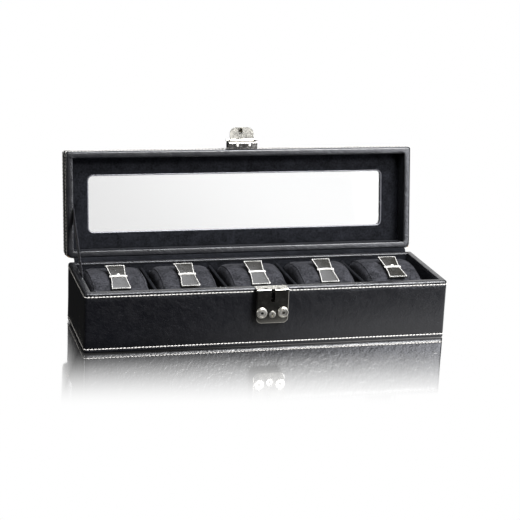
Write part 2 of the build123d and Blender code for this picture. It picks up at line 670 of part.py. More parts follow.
with BuildPart() as lid_lock_case:
    extrude(lid_lock_face, amount=LID_LOCK_PROUD)
    fillet(lid_lock_case.faces().sort_by(LID_FORWARD)[-1].edges(), LOCK_EDGE)
    extrude(lid_lock_room, amount=LID_LOCK_PROUD - LOCK_WALL, mode=Mode.SUBTRACT)
    for ear_start in (-LID_LOCK_WIDTH / 2, LID_LOCK_WIDTH / 2 - EAR):
        with BuildSketch(LID_SIDE.offset(ear_start)):
            with Locations((-BOX_DEPTH / 2 - HASP_PROUD, HASP_LEVEL)):
                Circle(EAR_RADIUS)
            with Locations((-BOX_DEPTH / 2 - HASP_PROUD + EAR_RADIUS, HASP_LEVEL)):
                Rectangle(2 * EAR_RADIUS, 2 * EAR_RADIUS)
        extrude(amount=EAR)
    with BuildSketch(LID_SIDE.offset(-LID_LOCK_WIDTH / 2)):
        with Locations((-BOX_DEPTH / 2 - HASP_PROUD, HASP_LEVEL)):
            Circle(HASP_PIN_RADIUS)
    extrude(amount=LID_LOCK_WIDTH, mode=Mode.SUBTRACT)
    with BuildSketch(LID_LOCK_SEAT):
        with Locations(*GUIDE_PLACES):
            Circle(GUIDE_PIN_RADIUS)
    extrude(amount=LOCK_WALL, mode=Mode.SUBTRACT)
save(lid_lock_case, "lid_lock_case")

with BuildPart() as lid_lock_pins:
    with BuildSketch(LID_LOCK_SEAT.offset(LOCK_WALL)):
        with Locations(*GUIDE_PLACES):
            Circle(GUIDE_PIN_RADIUS)
    extrude(amount=-LOCK_WALL - GUIDE_PIN_LENGTH)
    fillet(lid_lock_pins.faces().sort_by(LID_UP)[:2].edges(), GUIDE_PIN_RADIUS / 2)
save(lid_lock_pins, "lid_lock_pins")

with BuildPart() as hasp:
    extrude(hasp_face, amount=-HASP_THICK)
    with BuildSketch(HASP_SIDE.offset(-HASP_HALF_WIDTH)):
        Circle(HASP_BARREL)
    extrude(amount=2 * HASP_HALF_WIDTH)
    with BuildSketch(HASP_SIDE.offset(-HASP_HALF_WIDTH)):
        Circle(HASP_PIN_RADIUS + PIN_CLEARANCE)
    extrude(amount=2 * HASP_HALF_WIDTH, mode=Mode.SUBTRACT)
    with BuildSketch(HASP_SIDE.offset(-STAPLE_HALF)):
        with Locations((STAPLE_REACH / 2, (STAPLE_TOP + STAPLE_END) / 2)):
            Rectangle(STAPLE_REACH, STAPLE_TOP - STAPLE_END)
        with Locations(((EYE_NEAR + EYE_FAR) / 2, (EYE[0] + EYE[1]) / 2)):
            Rectangle(EYE_FAR - EYE_NEAR, EYE[0] - EYE[1], mode=Mode.SUBTRACT)
    extrude(amount=2 * STAPLE_HALF)
save(hasp, "hasp")

with BuildPart() as hasp_pin:
    with BuildSketch(HASP_SIDE.offset(-LID_LOCK_WIDTH / 2)):
        Circle(HASP_PIN_RADIUS)
    extrude(amount=LID_LOCK_WIDTH)
    for knob_start in (-LID_LOCK_WIDTH / 2 - KNOB, LID_LOCK_WIDTH / 2):
        with BuildSketch(HASP_SIDE.offset(knob_start)):
            Circle(KNOB_RADIUS)
        extrude(amount=KNOB)
save(hasp_pin, "hasp_pin")

# Ribbon, pulled straight between the left walls of the base and the lid
ribbon_end = LID_SIDE.from_local_coords((RIBBON_LID[0], RIBBON_LID[1], 0))
with BuildPart() as ribbon:
    with BuildSketch(Plane.YZ.offset(-INNER_LENGTH / 2)):
        with BuildLine():
            Line(RIBBON_BASE, (ribbon_end.Y, ribbon_end.Z))
        trace(line_width=RIBBON_WIDTH)
    extrude(amount=RIBBON_THICK)
save(ribbon, "ribbon_stay")


# Cushions: a velvet cover round a foam core, with a sewn leather pull tab
def cushion_body(left, inset):
    """The cushion's rounded block, or with an inset the room inside its cover."""
    half = CUSHION_DEPTH / 2 - inset
    bottom = FLOOR_LINED + CUSHION_LIFT + inset
    with BuildPart() as block:
        front_top = (-half, CUSHION_FRONT - inset)
        back_top = (half, CUSHION_BACK - inset)
        with BuildSketch(Plane.YZ.offset(left + inset)):
            with BuildLine():
                Polyline(front_top, (-half, bottom), (half, bottom), back_top)
                ThreePointArc(back_top, (CROWN_Y, CUSHION_CROWN - inset), front_top)
            make_face()
        extrude(amount=CUSHION_LENGTH - 2 * inset)
        fillet(block.edges(), CUSHION_ROUND - inset)
    return block


def pull_tab(centre):
    """A flat waisted tab, sewn down across its middle and free at both ends."""
    with BuildPart() as tab:
        with BuildSketch(Plane.YZ.offset(centre - TAB_HALF_END)):
            with BuildLine():
                Polyline(TAB_FRONT, TAB_WAIST, TAB_BACK)
            trace(line_width=TAB_THICK)
        extrude(amount=2 * TAB_HALF_END)
        with BuildSketch(BASE_FLOOR) as plan:
            with BuildLine():
                Polyline(
                    (centre - TAB_HALF_END, TAB_FRONT[0]),
                    (centre + TAB_HALF_END, TAB_FRONT[0]),
                    (centre + TAB_HALF_WAIST, TAB_WAIST[0]),
                    (centre + TAB_HALF_END, TAB_BACK[0]),
                    (centre - TAB_HALF_END, TAB_BACK[0]),
                    (centre - TAB_HALF_WAIST, TAB_WAIST[0]),
                    close=True,
                )
            make_face()
            ends = plan.vertices().group_by(Axis.Y)
            fillet(ends[0] + ends[-1], TAB_ROUND)
        extrude(amount=2 * BASE_TOP, mode=Mode.INTERSECT)
    return tab


cushion_walls = [-INNER_LENGTH / 2] + [place + DIVIDER / 2 for place in divider_places]
for number, wall in enumerate(cushion_walls, 1):
    left = wall + CUSHION_GAP
    foam = cushion_body(left, VELVET)
    save(foam, f"cushion_{number}_foam")
    cover = cushion_body(left, 0)
    with BuildPart() as shell:
        add(cover.part)
        add(foam.part, mode=Mode.SUBTRACT)
    save(shell, f"cushion_{number}_cover")
    save(pull_tab(left + CUSHION_LENGTH / 2), f"cushion_{number}_tab")
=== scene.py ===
"""A leather display box for five watches, standing open.

Lengths are in metres. MM turns a size in millimetres into metres. The lid's pieces are shaped with the
lid down and carried by LidStand to where the lid stands.
"""

import json
import logging
import math
from collections.abc import Callable, Iterable, Sequence
from dataclasses import dataclass, field
from enum import Enum

import bmesh
import bpy
from mathutils import Matrix, Vector, noise


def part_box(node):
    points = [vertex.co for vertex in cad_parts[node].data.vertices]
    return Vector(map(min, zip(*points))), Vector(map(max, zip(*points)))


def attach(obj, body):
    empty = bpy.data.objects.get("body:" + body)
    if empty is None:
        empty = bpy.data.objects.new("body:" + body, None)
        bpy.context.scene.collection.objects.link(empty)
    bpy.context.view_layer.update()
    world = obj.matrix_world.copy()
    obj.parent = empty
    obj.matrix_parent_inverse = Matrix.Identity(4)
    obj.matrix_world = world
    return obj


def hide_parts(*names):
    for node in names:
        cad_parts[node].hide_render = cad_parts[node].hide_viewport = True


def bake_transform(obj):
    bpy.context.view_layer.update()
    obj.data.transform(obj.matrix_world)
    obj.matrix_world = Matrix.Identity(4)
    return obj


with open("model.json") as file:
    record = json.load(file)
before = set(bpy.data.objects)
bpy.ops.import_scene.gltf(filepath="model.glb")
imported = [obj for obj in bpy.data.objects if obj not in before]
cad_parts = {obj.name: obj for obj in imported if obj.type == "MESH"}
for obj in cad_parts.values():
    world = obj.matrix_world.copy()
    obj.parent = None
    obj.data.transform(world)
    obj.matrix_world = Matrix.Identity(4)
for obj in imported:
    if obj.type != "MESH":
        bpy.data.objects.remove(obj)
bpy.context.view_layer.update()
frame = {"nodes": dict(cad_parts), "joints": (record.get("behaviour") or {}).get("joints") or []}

MM = 0.001
NEAR = 0.01 * MM
HAIR = 0.001 * MM
X, Y, Z = Vector((1, 0, 0)), Vector((0, 1, 0)), Vector((0, 0, 1))
log = logging.getLogger("watch_box")

Test = Callable[[Vector], bool]
Settings = dict[str | int, object]
Links = dict[str | int, bpy.types.NodeSocket]


def linear(colour: str) -> tuple[float, float, float, float]:
    """Turns an sRGB hex colour into linear values.

    Args:
        colour: Six hex digits after a hash sign.

    Returns:
        Linear red, green and blue, and an alpha of one.
    """
    parts = [int(colour[start : start + 2], 16) / 255 for start in (1, 3, 5)]
    curved = [part / 12.92 if part <= 0.04045 else ((part + 0.055) / 1.055) ** 2.4 for part in parts]
    return (*curved, 1.0)


def add_node(
    tree: bpy.types.NodeTree, kind: str, settings: Settings | None = None, links: Links | None = None
) -> bpy.types.Node:
    """Adds one node with its settings and its incoming links.

    Args:
        tree: The node tree that gets the node.
        kind: The node's type name.
        settings: Values by property name, or by the name or number of an input.
        links: Output sockets by the name or number of the input they feed.

    Returns:
        The new node.
    """
    node = tree.nodes.new(kind)
    for key, value in (settings or {}).items():
        if isinstance(key, str) and hasattr(node, key):
            setattr(node, key, value)
        else:
            node.inputs[key].default_value = value
    for key, socket in (links or {}).items():
        tree.links.new(socket, node.inputs[key])
    return node


# ---------------------------------------------------------------------------------------- finishes


@dataclass(frozen=True)
class Finish:
    """A real material with the way its surface was made.

    Attributes:
        name: The material's name.
        slot: The material slot that pieces in this finish take.
    """

    name: str
    slot: str

    def material(self) -> bpy.types.Material:
        """Makes the material, or finds it if it is made already."""
        known = bpy.data.materials.get(self.name)
        if known:
            return known
        made = bpy.data.materials.new(self.name)
        made.use_nodes = True
        tree = made.node_tree
        tree.nodes.clear()
        shader = add_node(tree, "ShaderNodeBsdfPrincipled")
        add_node(tree, "ShaderNodeOutputMaterial", links={"Surface": shader.outputs["BSDF"]})
        self.dress(tree, shader)
        return made

    def dress(self, tree: bpy.types.NodeTree, shader: bpy.types.Node) -> None:
        """Gives the shader its colour, gloss and relief."""
        raise NotImplementedError


@dataclass(frozen=True)
class PolishedLeather(Finish):
    """Corrected grain cowhide, dyed through, plated and waxed.

    It gives the eye a near black with a soft satin sheen, fine pebbles and a little clouding. The real
    pebbles are half a millimetre, too fine to show, so they are drawn coarser.
    """

    dark: str = "#040407"
    light: str = "#0a0b10"
    pebble: float = 2.0 * MM
    crease: float = 6 * MM
    cloud: float = 34 * MM
    relief: float = 0.16 * MM
    roughness: tuple[float, float] = (0.34, 0.48)
    specular: float = 0.32
    coat: float = 0.7

    def dress(self, tree: bpy.types.NodeTree, shader: bpy.types.Node) -> None:
        """Clouds the dye and the polish, and raises the grain.

        Args:
            tree: The material's nodes.
            shader: The principled shader that they feed.
        """
        place = add_node(tree, "ShaderNodeTexCoord").outputs["Object"]
        clouds = add_node(
            tree,
            "ShaderNodeTexNoise",
            {"Scale": 1 / self.cloud, "Detail": 5.0, "Roughness": 0.6},
            {"Vector": place},
        )
        creases = add_node(
            tree,
            "ShaderNodeTexNoise",
            {"Scale": 1 / self.crease, "Detail": 6.0, "Distortion": 0.6},
            {"Vector": place},
        )
        pebbles = add_node(
            tree,
            "ShaderNodeTexVoronoi",
            {"feature": "SMOOTH_F1", "Scale": 1 / self.pebble},
            {"Vector": place},
        )
        dye = add_node(
            tree,
            "ShaderNodeMix",
            {"data_type": "RGBA", 6: linear(self.dark), 7: linear(self.light)},
            {0: clouds.outputs["Fac"]},
        )
        polish = add_node(
            tree,
            "ShaderNodeMapRange",
            {"From Min": 0.3, "From Max": 0.7, "To Min": self.roughness[0], "To Max": self.roughness[1]},
            {"Value": creases.outputs["Fac"]},
        )
        folds = add_node(
            tree,
            "ShaderNodeBump",
            {"Strength": 0.5, "Distance": 4 * self.relief},
            {"Height": creases.outputs["Fac"]},
        )
        grain = add_node(
            tree,
            "ShaderNodeBump",
            {"Strength": 0.6, "Distance": self.relief, "invert": True},
            {"Height": pebbles.outputs["Distance"], "Normal": folds.outputs["Normal"]},
        )
        shader.inputs["Specular IOR Level"].default_value = self.specular
        shader.inputs["Coat Weight"].default_value = self.coat
        shader.inputs["Coat Roughness"].default_value = 0.24
        tree.links.new(dye.outputs[2], shader.inputs["Base Color"])
        tree.links.new(polish.outputs["Result"], shader.inputs["Roughness"])
        tree.links.new(grain.outputs["Normal"], shader.inputs["Normal"])
        tree.links.new(grain.outputs["Normal"], shader.inputs["Coat Normal"])


@dataclass(frozen=True)
class BrushedVelvet(Finish):
    """Short pile cotton velvet.

    It gives the eye a deep black that lightens where the pile leans away, with brushed patches. The
    pile's tufts are under 0.2 mm, too fine to show, so they are drawn coarser.
    """

    dark: str = "#141518"
    light: str = "#505157"
    halo: str = "#a8a9b0"
    tuft: float = 1.7 * MM
    patch: float = 16 * MM
    sheen: float = 0.35

    def dress(self, tree: bpy.types.NodeTree, shader: bpy.types.Node) -> None:
        """Brushes the pile in patches and gives it its halo.

        Args:
            tree: The material's nodes.
            shader: The principled shader that they feed.
        """
        place = add_node(tree, "ShaderNodeTexCoord").outputs["Object"]
        patches = add_node(
            tree,
            "ShaderNodeTexNoise",
            {"Scale": 1 / self.patch, "Detail": 6.0, "Roughness": 0.65, "Distortion": 1.2},
            {"Vector": place},
        )
        tufts = add_node(
            tree, "ShaderNodeTexNoise", {"Scale": 1 / self.tuft, "Detail": 3.0}, {"Vector": place}
        )
        leaning = add_node(
            tree,
            "ShaderNodeMath",
            {"operation": "ADD"},
            {0: patches.outputs["Fac"], 1: tufts.outputs["Fac"]},
        )
        spread = add_node(
            tree, "ShaderNodeMapRange", {"From Min": 0.72, "From Max": 1.3}, {"Value": leaning.outputs[0]}
        )
        pile = add_node(
            tree,
            "ShaderNodeMix",
            {"data_type": "RGBA", 6: linear(self.dark), 7: linear(self.light)},
            {0: spread.outputs["Result"]},
        )
        lean = add_node(
            tree,
            "ShaderNodeBump",
            {"Strength": 0.5, "Distance": 1.0 * MM},
            {"Height": patches.outputs["Fac"]},
        )
        nap = add_node(
            tree,
            "ShaderNodeBump",
            {"Strength": 0.8, "Distance": 0.16 * MM},
            {"Height": tufts.outputs["Fac"], "Normal": lean.outputs["Normal"]},
        )
        shader.inputs["Roughness"].default_value = 0.95
        shader.inputs["Specular IOR Level"].default_value = 0.08
        shader.inputs["Sheen Weight"].default_value = self.sheen
        shader.inputs["Sheen Roughness"].default_value = 0.42
        shader.inputs["Sheen Tint"].default_value = linear(self.halo)
        tree.links.new(pile.outputs[2], shader.inputs["Base Color"])
        tree.links.new(nap.outputs["Normal"], shader.inputs["Normal"])


@dataclass(frozen=True)
class PolishedMetal(Finish):
    """Stamped metal, buffed and plated.

    It gives the eye mirror reflections that are slightly wavy, with faint smears in the polish.
    """

    colour: str = "#cfccc4"
    polish: float = 0.1
    smear: float = 5 * MM
    wave: float = 3.5 * MM

    def dress(self, tree: bpy.types.NodeTree, shader: bpy.types.Node) -> None:
        """Smears the polish and ripples the plate.

        Args:
            tree: The material's nodes.
            shader: The principled shader that they feed.
        """
        place = add_node(tree, "ShaderNodeTexCoord").outputs["Object"]
        smears = add_node(
            tree,
            "ShaderNodeTexNoise",
            {"Scale": 1 / self.smear, "Detail": 5.0, "Roughness": 0.7},
            {"Vector": place},
        )
        waves = add_node(
            tree, "ShaderNodeTexNoise", {"Scale": 1 / self.wave, "Detail": 1.0}, {"Vector": place}
        )
        gloss = add_node(
            tree,
            "ShaderNodeMapRange",
            {"From Min": 0.35, "From Max": 0.7, "To Min": self.polish, "To Max": self.polish * 1.8},
            {"Value": smears.outputs["Fac"]},
        )
        ripple = add_node(
            tree,
            "ShaderNodeBump",
            {"Strength": 0.3, "Distance": 0.04 * MM},
            {"Height": waves.outputs["Fac"]},
        )
        shader.inputs["Base Color"].default_value = linear(self.colour)
        shader.inputs["Metallic"].default_value = 1.0
        tree.links.new(gloss.outputs["Result"], shader.inputs["Roughness"])
        tree.links.new(ripple.outputs["Normal"], shader.inputs["Normal"])


@dataclass(frozen=True)
class WaxedThread(Finish):
    """Bonded polyester thread, twisted in three plies and waxed.

    It gives the eye an off-white line with painted shade between the plies, laid in by noise.
    """

    colour: str = "#efece6"
    # The shade colour is painted shade between the plies.
    shade: str = "#b5b1a9"
    ply: float = 0.7 * MM

    def dress(self, tree: bpy.types.NodeTree, shader: bpy.types.Node) -> None:
        """Paints shade between the thread's plies.

        Args:
            tree: The material's nodes.
            shader: The principled shader that they feed.
        """
        place = add_node(tree, "ShaderNodeTexCoord").outputs["Object"]
        plies = add_node(
            tree, "ShaderNodeTexNoise", {"Scale": 1 / self.ply, "Detail": 2.0}, {"Vector": place}
        )
        # Mixes the painted ply shade into the off-white by noise.
        colour = add_node(
            tree,
            "ShaderNodeMix",
            {"data_type": "RGBA", 6: linear(self.shade), 7: linear(self.colour)},
            {0: plies.outputs["Fac"]},
        )
        twist = add_node(
            tree,
            "ShaderNodeBump",
            {"Strength": 0.4, "Distance": 0.1 * MM},
            {"Height": plies.outputs["Fac"]},
        )
        shader.inputs["Roughness"].default_value = 0.6
        tree.links.new(colour.outputs[2], shader.inputs["Base Color"])
        tree.links.new(twist.outputs["Normal"], shader.inputs["Normal"])


@dataclass(frozen=True)
class FloatGlass(Finish):
    """Float glass with ground edges. It gives the eye a clear pane with a faint cool cast."""

    def dress(self, tree: bpy.types.NodeTree, shader: bpy.types.Node) -> None:
        """Makes the shader clear, with a trace of dust in its gloss.

        Args:
            tree: The material's nodes.
            shader: The principled shader that they feed.
        """
        place = add_node(tree, "ShaderNodeTexCoord").outputs["Object"]
        dust = add_node(
            tree, "ShaderNodeTexNoise", {"Scale": 1 / (9 * MM), "Detail": 4.0}, {"Vector": place}
        )
        film = add_node(
            tree,
            "ShaderNodeMapRange",
            {"From Min": 0.5, "From Max": 0.9, "To Min": 0.0, "To Max": 0.03},
            {"Value": dust.outputs["Fac"]},
        )
        shader.inputs["Base Color"].default_value = linear("#f3f6f7")
        shader.inputs["Transmission Weight"].default_value = 1.0
        shader.inputs["IOR"].default_value = 1.5
        shader.inputs["Alpha"].default_value = 0.12
        tree.links.new(film.outputs["Result"], shader.inputs["Roughness"])


@dataclass(frozen=True)
class Fibrous(Finish):
    """A matt stock of fibres: pressed felt, fibreboard or foam.

    It gives the eye a dull, slightly mottled surface with a fine tooth.
    """

    dark: str = "#0e0e10"
    light: str = "#1a1a1d"
    fibre: float = 1.2 * MM
    tooth: float = 0.2 * MM
    specular: float = 0.15

    def dress(self, tree: bpy.types.NodeTree, shader: bpy.types.Node) -> None:
        """Mottles the fibres and raises their tooth.

        Args:
            tree: The material's nodes.
            shader: The principled shader that they feed.
        """
        place = add_node(tree, "ShaderNodeTexCoord").outputs["Object"]
        fibres = add_node(
            tree,
            "ShaderNodeTexNoise",
            {"Scale": 1 / self.fibre, "Detail": 6.0, "Roughness": 0.7},
            {"Vector": place},
        )
        colour = add_node(
            tree,
            "ShaderNodeMix",
            {"data_type": "RGBA", 6: linear(self.dark), 7: linear(self.light)},
            {0: fibres.outputs["Fac"]},
        )
        tooth = add_node(
            tree,
            "ShaderNodeBump",
            {"Strength": 0.7, "Distance": self.tooth},
            {"Height": fibres.outputs["Fac"]},
        )
        shader.inputs["Roughness"].default_value = 0.92
        shader.inputs["Specular IOR Level"].default_value = self.specular
        tree.links.new(colour.outputs[2], shader.inputs["Base Color"])
        tree.links.new(tooth.outputs["Normal"], shader.inputs["Normal"])


@dataclass(frozen=True)
class SatinRibbon(Finish):
    """Woven satin ribbon. It gives the eye a dark grey with a silky sheen and fine cross threads."""

    dark: str = "#1d1d21"
    light: str = "#34343a"
    thread: float = 0.8 * MM

    def dress(self, tree: bpy.types.NodeTree, shader: bpy.types.Node) -> None:
        """Weaves fine bands across the ribbon, along the height that it climbs.

        Args:
            tree: The material's nodes.
            shader: The principled shader that they feed.
        """
        place = add_node(tree, "ShaderNodeTexCoord").outputs["Object"]
        weave = add_node(
            tree,
            "ShaderNodeTexWave",
            {"bands_direction": "Z", "Scale": 1 / (20 * self.thread), "Distortion": 0.4},
            {"Vector": place},
        )
        colour = add_node(
            tree,
            "ShaderNodeMix",
            {"data_type": "RGBA", 6: linear(self.dark), 7: linear(self.light)},
            {0: weave.outputs["Fac"]},
        )
        ribs = add_node(
            tree,
            "ShaderNodeBump",
            {"Strength": 0.4, "Distance": 0.06 * MM},
            {"Height": weave.outputs["Fac"]},
        )
        shader.inputs["Roughness"].default_value = 0.45
        shader.inputs["Sheen Weight"].default_value = 0.3
        tree.links.new(colour.outputs[2], shader.inputs["Base Color"])
        tree.links.new(ribs.outputs["Normal"], shader.inputs["Normal"])


LEATHER = PolishedLeather("plated_black_cowhide", "leather")
TAB_LEATHER = PolishedLeather(
    "glazed_tab_leather",
    "tab_leather",
    "#1c1b17",
    "#2c2a24",
    pebble=1.0 * MM,
    relief=0.05 * MM,
    roughness=(0.18, 0.26),
    specular=0.5,
    coat=0.0,
)
# The window bead: real gloss, with a mid-grey colour that partly paints the highlight along the window's
# edge.
BEAD_WITH_PAINTED_HIGHLIGHT = PolishedLeather(
    "glossy_bead_painted_highlight",
    "leather",
    "#58585c",
    "#6b6b70",
    relief=0.01 * MM,
    roughness=(0.2, 0.3),
    specular=0.8,
    coat=0.0,
)
CUSHION_VELVET = BrushedVelvet(
    "brushed_cushion_velvet", "cushion_velvet", "#101112", "#454549", sheen=0.08
)
LINING_VELVET = BrushedVelvet("glued_lining_velvet", "velvet", "#07080a", "#1f2024", sheen=0.1)
NICKEL = PolishedMetal("polished_nickel_plate", "nickel")
SATIN_NICKEL = PolishedMetal("barrelled_nickel_plate", "nickel", colour="#dedbd2", polish=0.26)
# A darker copy of the lock's nickel for the hasp: painted shade, with a rougher polish.
SHADED_HASP_NICKEL = PolishedMetal("shaded_hasp_nickel_plate", "nickel", colour="#b3b0a6", polish=0.2)
STEEL = PolishedMetal("zinc_plated_steel", "steel", colour="#a9a8a4", polish=0.24)
THREAD = WaxedThread("waxed_offwhite_thread", "leather")
# Its shade colour is painted shade between the plies.
TAB_THREAD = WaxedThread("glossy_white_thread", "tab_leather", colour="#f4f2ec", shade="#c9c6bf")
GLASS = FloatGlass("float_glass", "glass")
FELT = Fibrous("pressed_wool_felt", "felt")
BOARD = Fibrous("raw_fibreboard", "board", "#5c4633", "#8c7153", fibre=2 * MM, tooth=0.1 * MM)
STAINED_BOARD = Fibrous(
    "black_stained_fibreboard", "board", "#0d0d0e", "#1c1b1b", fibre=2 * MM, tooth=0.1 * MM
)
RIBBON = SatinRibbon("woven_satin_ribbon", "ribbon")


# ------------------------------------------------------------------------------------------ shapes


def rise(edge: bmesh.types.BMEdge) -> float:
    """How far an edge climbs."""
    return abs(edge.verts[0].co.z - edge.verts[1].co.z)


class Shape:
    """A mesh that is being shaped with bmesh operators."""

    def __init__(self) -> None:
        """Starts with nothing."""
        self.bm = bmesh.new()

    def block(self, low: Sequence[float], high: Sequence[float]) -> list[bmesh.types.BMVert]:
        """Adds a box.

        Args:
            low: Its lowest corner.
            high: Its highest corner.

        Returns:
            The box's vertices.
        """
        low, high = Vector(low), Vector(high)
        place = Matrix.Translation((low + high) / 2) @ Matrix.Diagonal((*(high - low), 1))
        return bmesh.ops.create_cube(self.bm, size=1.0, matrix=place)["verts"]

    def slice(self, point: Sequence[float], normal: Vector) -> None:
        """Cuts new edges where a plane passes through."""
        everything = [*self.bm.verts, *self.bm.edges, *self.bm.faces]
        bmesh.ops.bisect_plane(self.bm, geom=everything, dist=1e-7, plane_co=point, plane_no=normal)

    def slices(self, axis: Vector, places: Iterable[float]) -> None:
        """Cuts across one axis at several places."""
        for place in places:
            self.slice(axis * place, axis)

    def edges(self, test: Callable[[bmesh.types.BMEdge], bool]) -> list[bmesh.types.BMEdge]:
        """Finds the edges that pass a test."""
        self.bm.normal_update()
        return [edge for edge in self.bm.edges if test(edge)]

    def bevel(self, edges: list[bmesh.types.BMEdge], radius: float, segments: int = 3) -> None:
        """Rounds edges.

        Args:
            edges: The edges.
            radius: Their new radius.
            segments: Steps in the rounding.
        """
        bmesh.ops.bevel(
            self.bm,
            geom=edges,
            offset=radius,
            offset_type="OFFSET",
            segments=segments,
            profile=0.5,
            affect="EDGES",
            clamp_overlap=True,
            material=-1,
        )

    def shift(self, where: Test, by: Callable[[bmesh.types.BMVert], Vector]) -> None:
        """Moves the vertices whose place passes a test.

        Args:
            where: The test of a place.
            by: Gives each vertex its move.
        """
        self.bm.normal_update()
        moves = [(vertex, by(vertex)) for vertex in self.bm.verts if where(vertex.co)]
        for vertex, move in moves:
            vertex.co += move

    def drop(self, faces: list[bmesh.types.BMFace]) -> None:
        """Deletes faces and what only they used."""
        bmesh.ops.delete(self.bm, geom=faces, context="FACES")

    def take(self, other: "Shape") -> None:
        """Adds another shape, which is used up."""
        part = other.mesh("part")
        self.bm.from_mesh(part)
        bpy.data.meshes.remove(part)

    def carry(self, matrix: Matrix) -> "Shape":
        """Moves the whole shape by a matrix."""
        bmesh.ops.transform(self.bm, matrix=matrix, verts=self.bm.verts)
        return self

    def heal(self) -> "Shape":
        """Merges doubles and points every face outwards.

        Returns:
            The shape itself.
        """
        bmesh.ops.remove_doubles(self.bm, verts=self.bm.verts, dist=HAIR)
        bmesh.ops.recalc_face_normals(self.bm, faces=self.bm.faces)
        return self

    def mesh(self, name: str, crease: float = 35.0) -> bpy.types.Mesh:
        """Turns the shape into a smooth shaded mesh.

        Args:
            name: The mesh's name.
            crease: Edges sharper than this many degrees stay sharp.

        Returns:
            The mesh. The shape is used up.
        """
        made = bpy.data.meshes.new(name)
        self.bm.to_mesh(made)
        self.bm.free()
        made.polygons.foreach_set("use_smooth", [True] * len(made.polygons))
        made.set_sharp_from_angle(angle=math.radians(crease))
        return made


def piece(
    name: str, mesh: bpy.types.Mesh, finish: Finish, body: str, replaces: Sequence[str] = ()
) -> bpy.types.Object:
    """Puts a finished mesh in the scene as one piece of the box.

    Args:
        name: The piece's name.
        mesh: Its mesh, in place.
        finish: Its finish.
        body: The moving body that it rides on, or an empty string for one that rides on no body.
        replaces: The frame's nodes that it stands for.

    Returns:
        The piece.
    """
    made = bpy.data.objects.new(name, mesh)
    bpy.context.scene.collection.objects.link(made)
    made.data.materials.append(finish.material())
    if body:
        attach(made, body)
    if replaces:
        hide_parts(*replaces)
    log.info("made %s: %d faces on %s", name, len(made.data.polygons), body or "two bodies")
    return made


def settle(made: bpy.types.Object) -> None:
    """Applies every modifier of a piece to its mesh.

    Args:
        made: The piece.
    """
    bpy.context.view_layer.update()
    seen = made.evaluated_get(bpy.context.evaluated_depsgraph_get())
    mesh = bpy.data.meshes.new_from_object(seen)
    made.modifiers.clear()
    made.data = mesh


def thicken(made: bpy.types.Object, thickness: float) -> None:
    """Gives a sheet its thickness, on the inner side, as part of its mesh.

    Args:
        made: The sheet.
        thickness: Its thickness.
    """
    wall = made.modifiers.new("thickness", "SOLIDIFY")
    wall.thickness = thickness
    wall.offset = -1.0
    wall.use_even_offset = True
    settle(made)


def dress_nodes(finish: Finish, *nodes: str) -> None:
    """Gives frame nodes whose shape is right their finish.

    Args:
        finish: The finish.
        nodes: The nodes' names.
    """
    for node in nodes:
        kept = frame["nodes"][node]
        kept.data.materials.clear()
        kept.data.materials.append(finish.material())
        kept.data.polygons.foreach_set("material_index", [0] * len(kept.data.polygons))
        log.info("dressed %s in %s", node, finish.name)


def rounded_outline(half: Vector, corners: tuple[float, float], steps: int = 6) -> list[Vector]:
    """The outline of a rectangle with rounded corners, anticlockwise from its front left corner.

    Args:
        half: Half its length and half its depth.
        corners: The radius of its front corners and of its back corners.
        steps: Steps in each rounded corner.

    Returns:
        Points on the outline, at height zero.
    """
    points = []
    for start, side_x, side_y, radius in (
        (180, -1, -1, corners[0]),
        (270, 1, -1, corners[0]),
        (0, 1, 1, corners[1]),
        (90, -1, 1, corners[1]),
    ):
        centre = Vector((side_x * (half.x - radius), side_y * (half.y - radius), 0))
        for step in range(steps + 1):
            turn = math.radians(start + 90 * step / steps)
            points.append(centre + radius * Vector((math.cos(turn), math.sin(turn), 0)))
    return points


@dataclass(frozen=True)
class Stitching:
    """A row of lockstitches.

    Attributes:
        pitch: From one stitch to the next.
        length: Length of the thread that shows.
        radius: Half the thread's thickness.
        slant: Degrees that each stitch turns away from the row.
    """

    pitch: float = 3.3 * MM
    length: float = 3.4 * MM
    radius: float = 0.56 * MM
    slant: float = 5.0

    def along(
        self,
        path: Sequence[Vector],
        outward: Callable[[Vector], Vector],
        closed: bool = True,
        keep: Test | None = None,
    ) -> Shape:
        """Sews along a path.

        Args:
            path: Points on the surface.
            outward: Gives the surface's normal at a place.
            closed: Whether the row comes back to its start.
            keep: Says whether a stitch shows at a place.

        Returns:
            The stitches, as one shape.
        """
        row = Shape()
        ends = list(path[1:]) + ([path[0]] if closed else [])
        spans = [(a, b, (b - a).length) for a, b in zip(path, ends) if (b - a).length > 1e-9]
        total = sum(length for _, _, length in spans)
        count = max(1, round(total / self.pitch))
        walked, span = 0.0, iter(spans)
        start, end, length = next(span)
        for number in range(count):
            wanted = (number + 0.5) * total / count
            while wanted > walked + length:
                walked += length
                start, end, length = next(span)
            place = start.lerp(end, (wanted - walked) / length)
            if keep and not keep(place):
                continue
            along, out = (end - start).normalized(), outward(place)
            side = out.cross(along).normalized()
            turn = Matrix((along, side, side.cross(along) * -1)).transposed().to_4x4()
            turn = turn @ Matrix.Rotation(math.radians(self.slant), 4, "Z")
            size = Matrix.Diagonal((self.length / 2, self.radius, self.radius, 1))
            matrix = Matrix.Translation(place) @ turn @ size
            bmesh.ops.create_uvsphere(row.bm, u_segments=6, v_segments=5, radius=1.0, matrix=matrix)
        bmesh.ops.recalc_face_normals(row.bm, faces=row.bm.faces)
        return row


def wall_normal(half: Vector, corners: tuple[float, float]) -> Callable[[Vector], Vector]:
    """Gives the outward normal at any place on the upright walls of a rounded box.

    Args:
        half: Half the box's length and half its depth.
        corners: Radius of the front corners and of the back corners.

    Returns:
        A function from a place to the normal there.
    """

    def normal(place: Vector) -> Vector:
        """The outward normal at one place."""
        radius = corners[0] if place.y < 0 else corners[1]
        inner = Vector(
            (
                max(-half.x + radius, min(half.x - radius, place.x)),
                max(-half.y + radius, min(half.y - radius, place.y)),
                place.z,
            )
        )
        return (place - inner).normalized()

    return normal


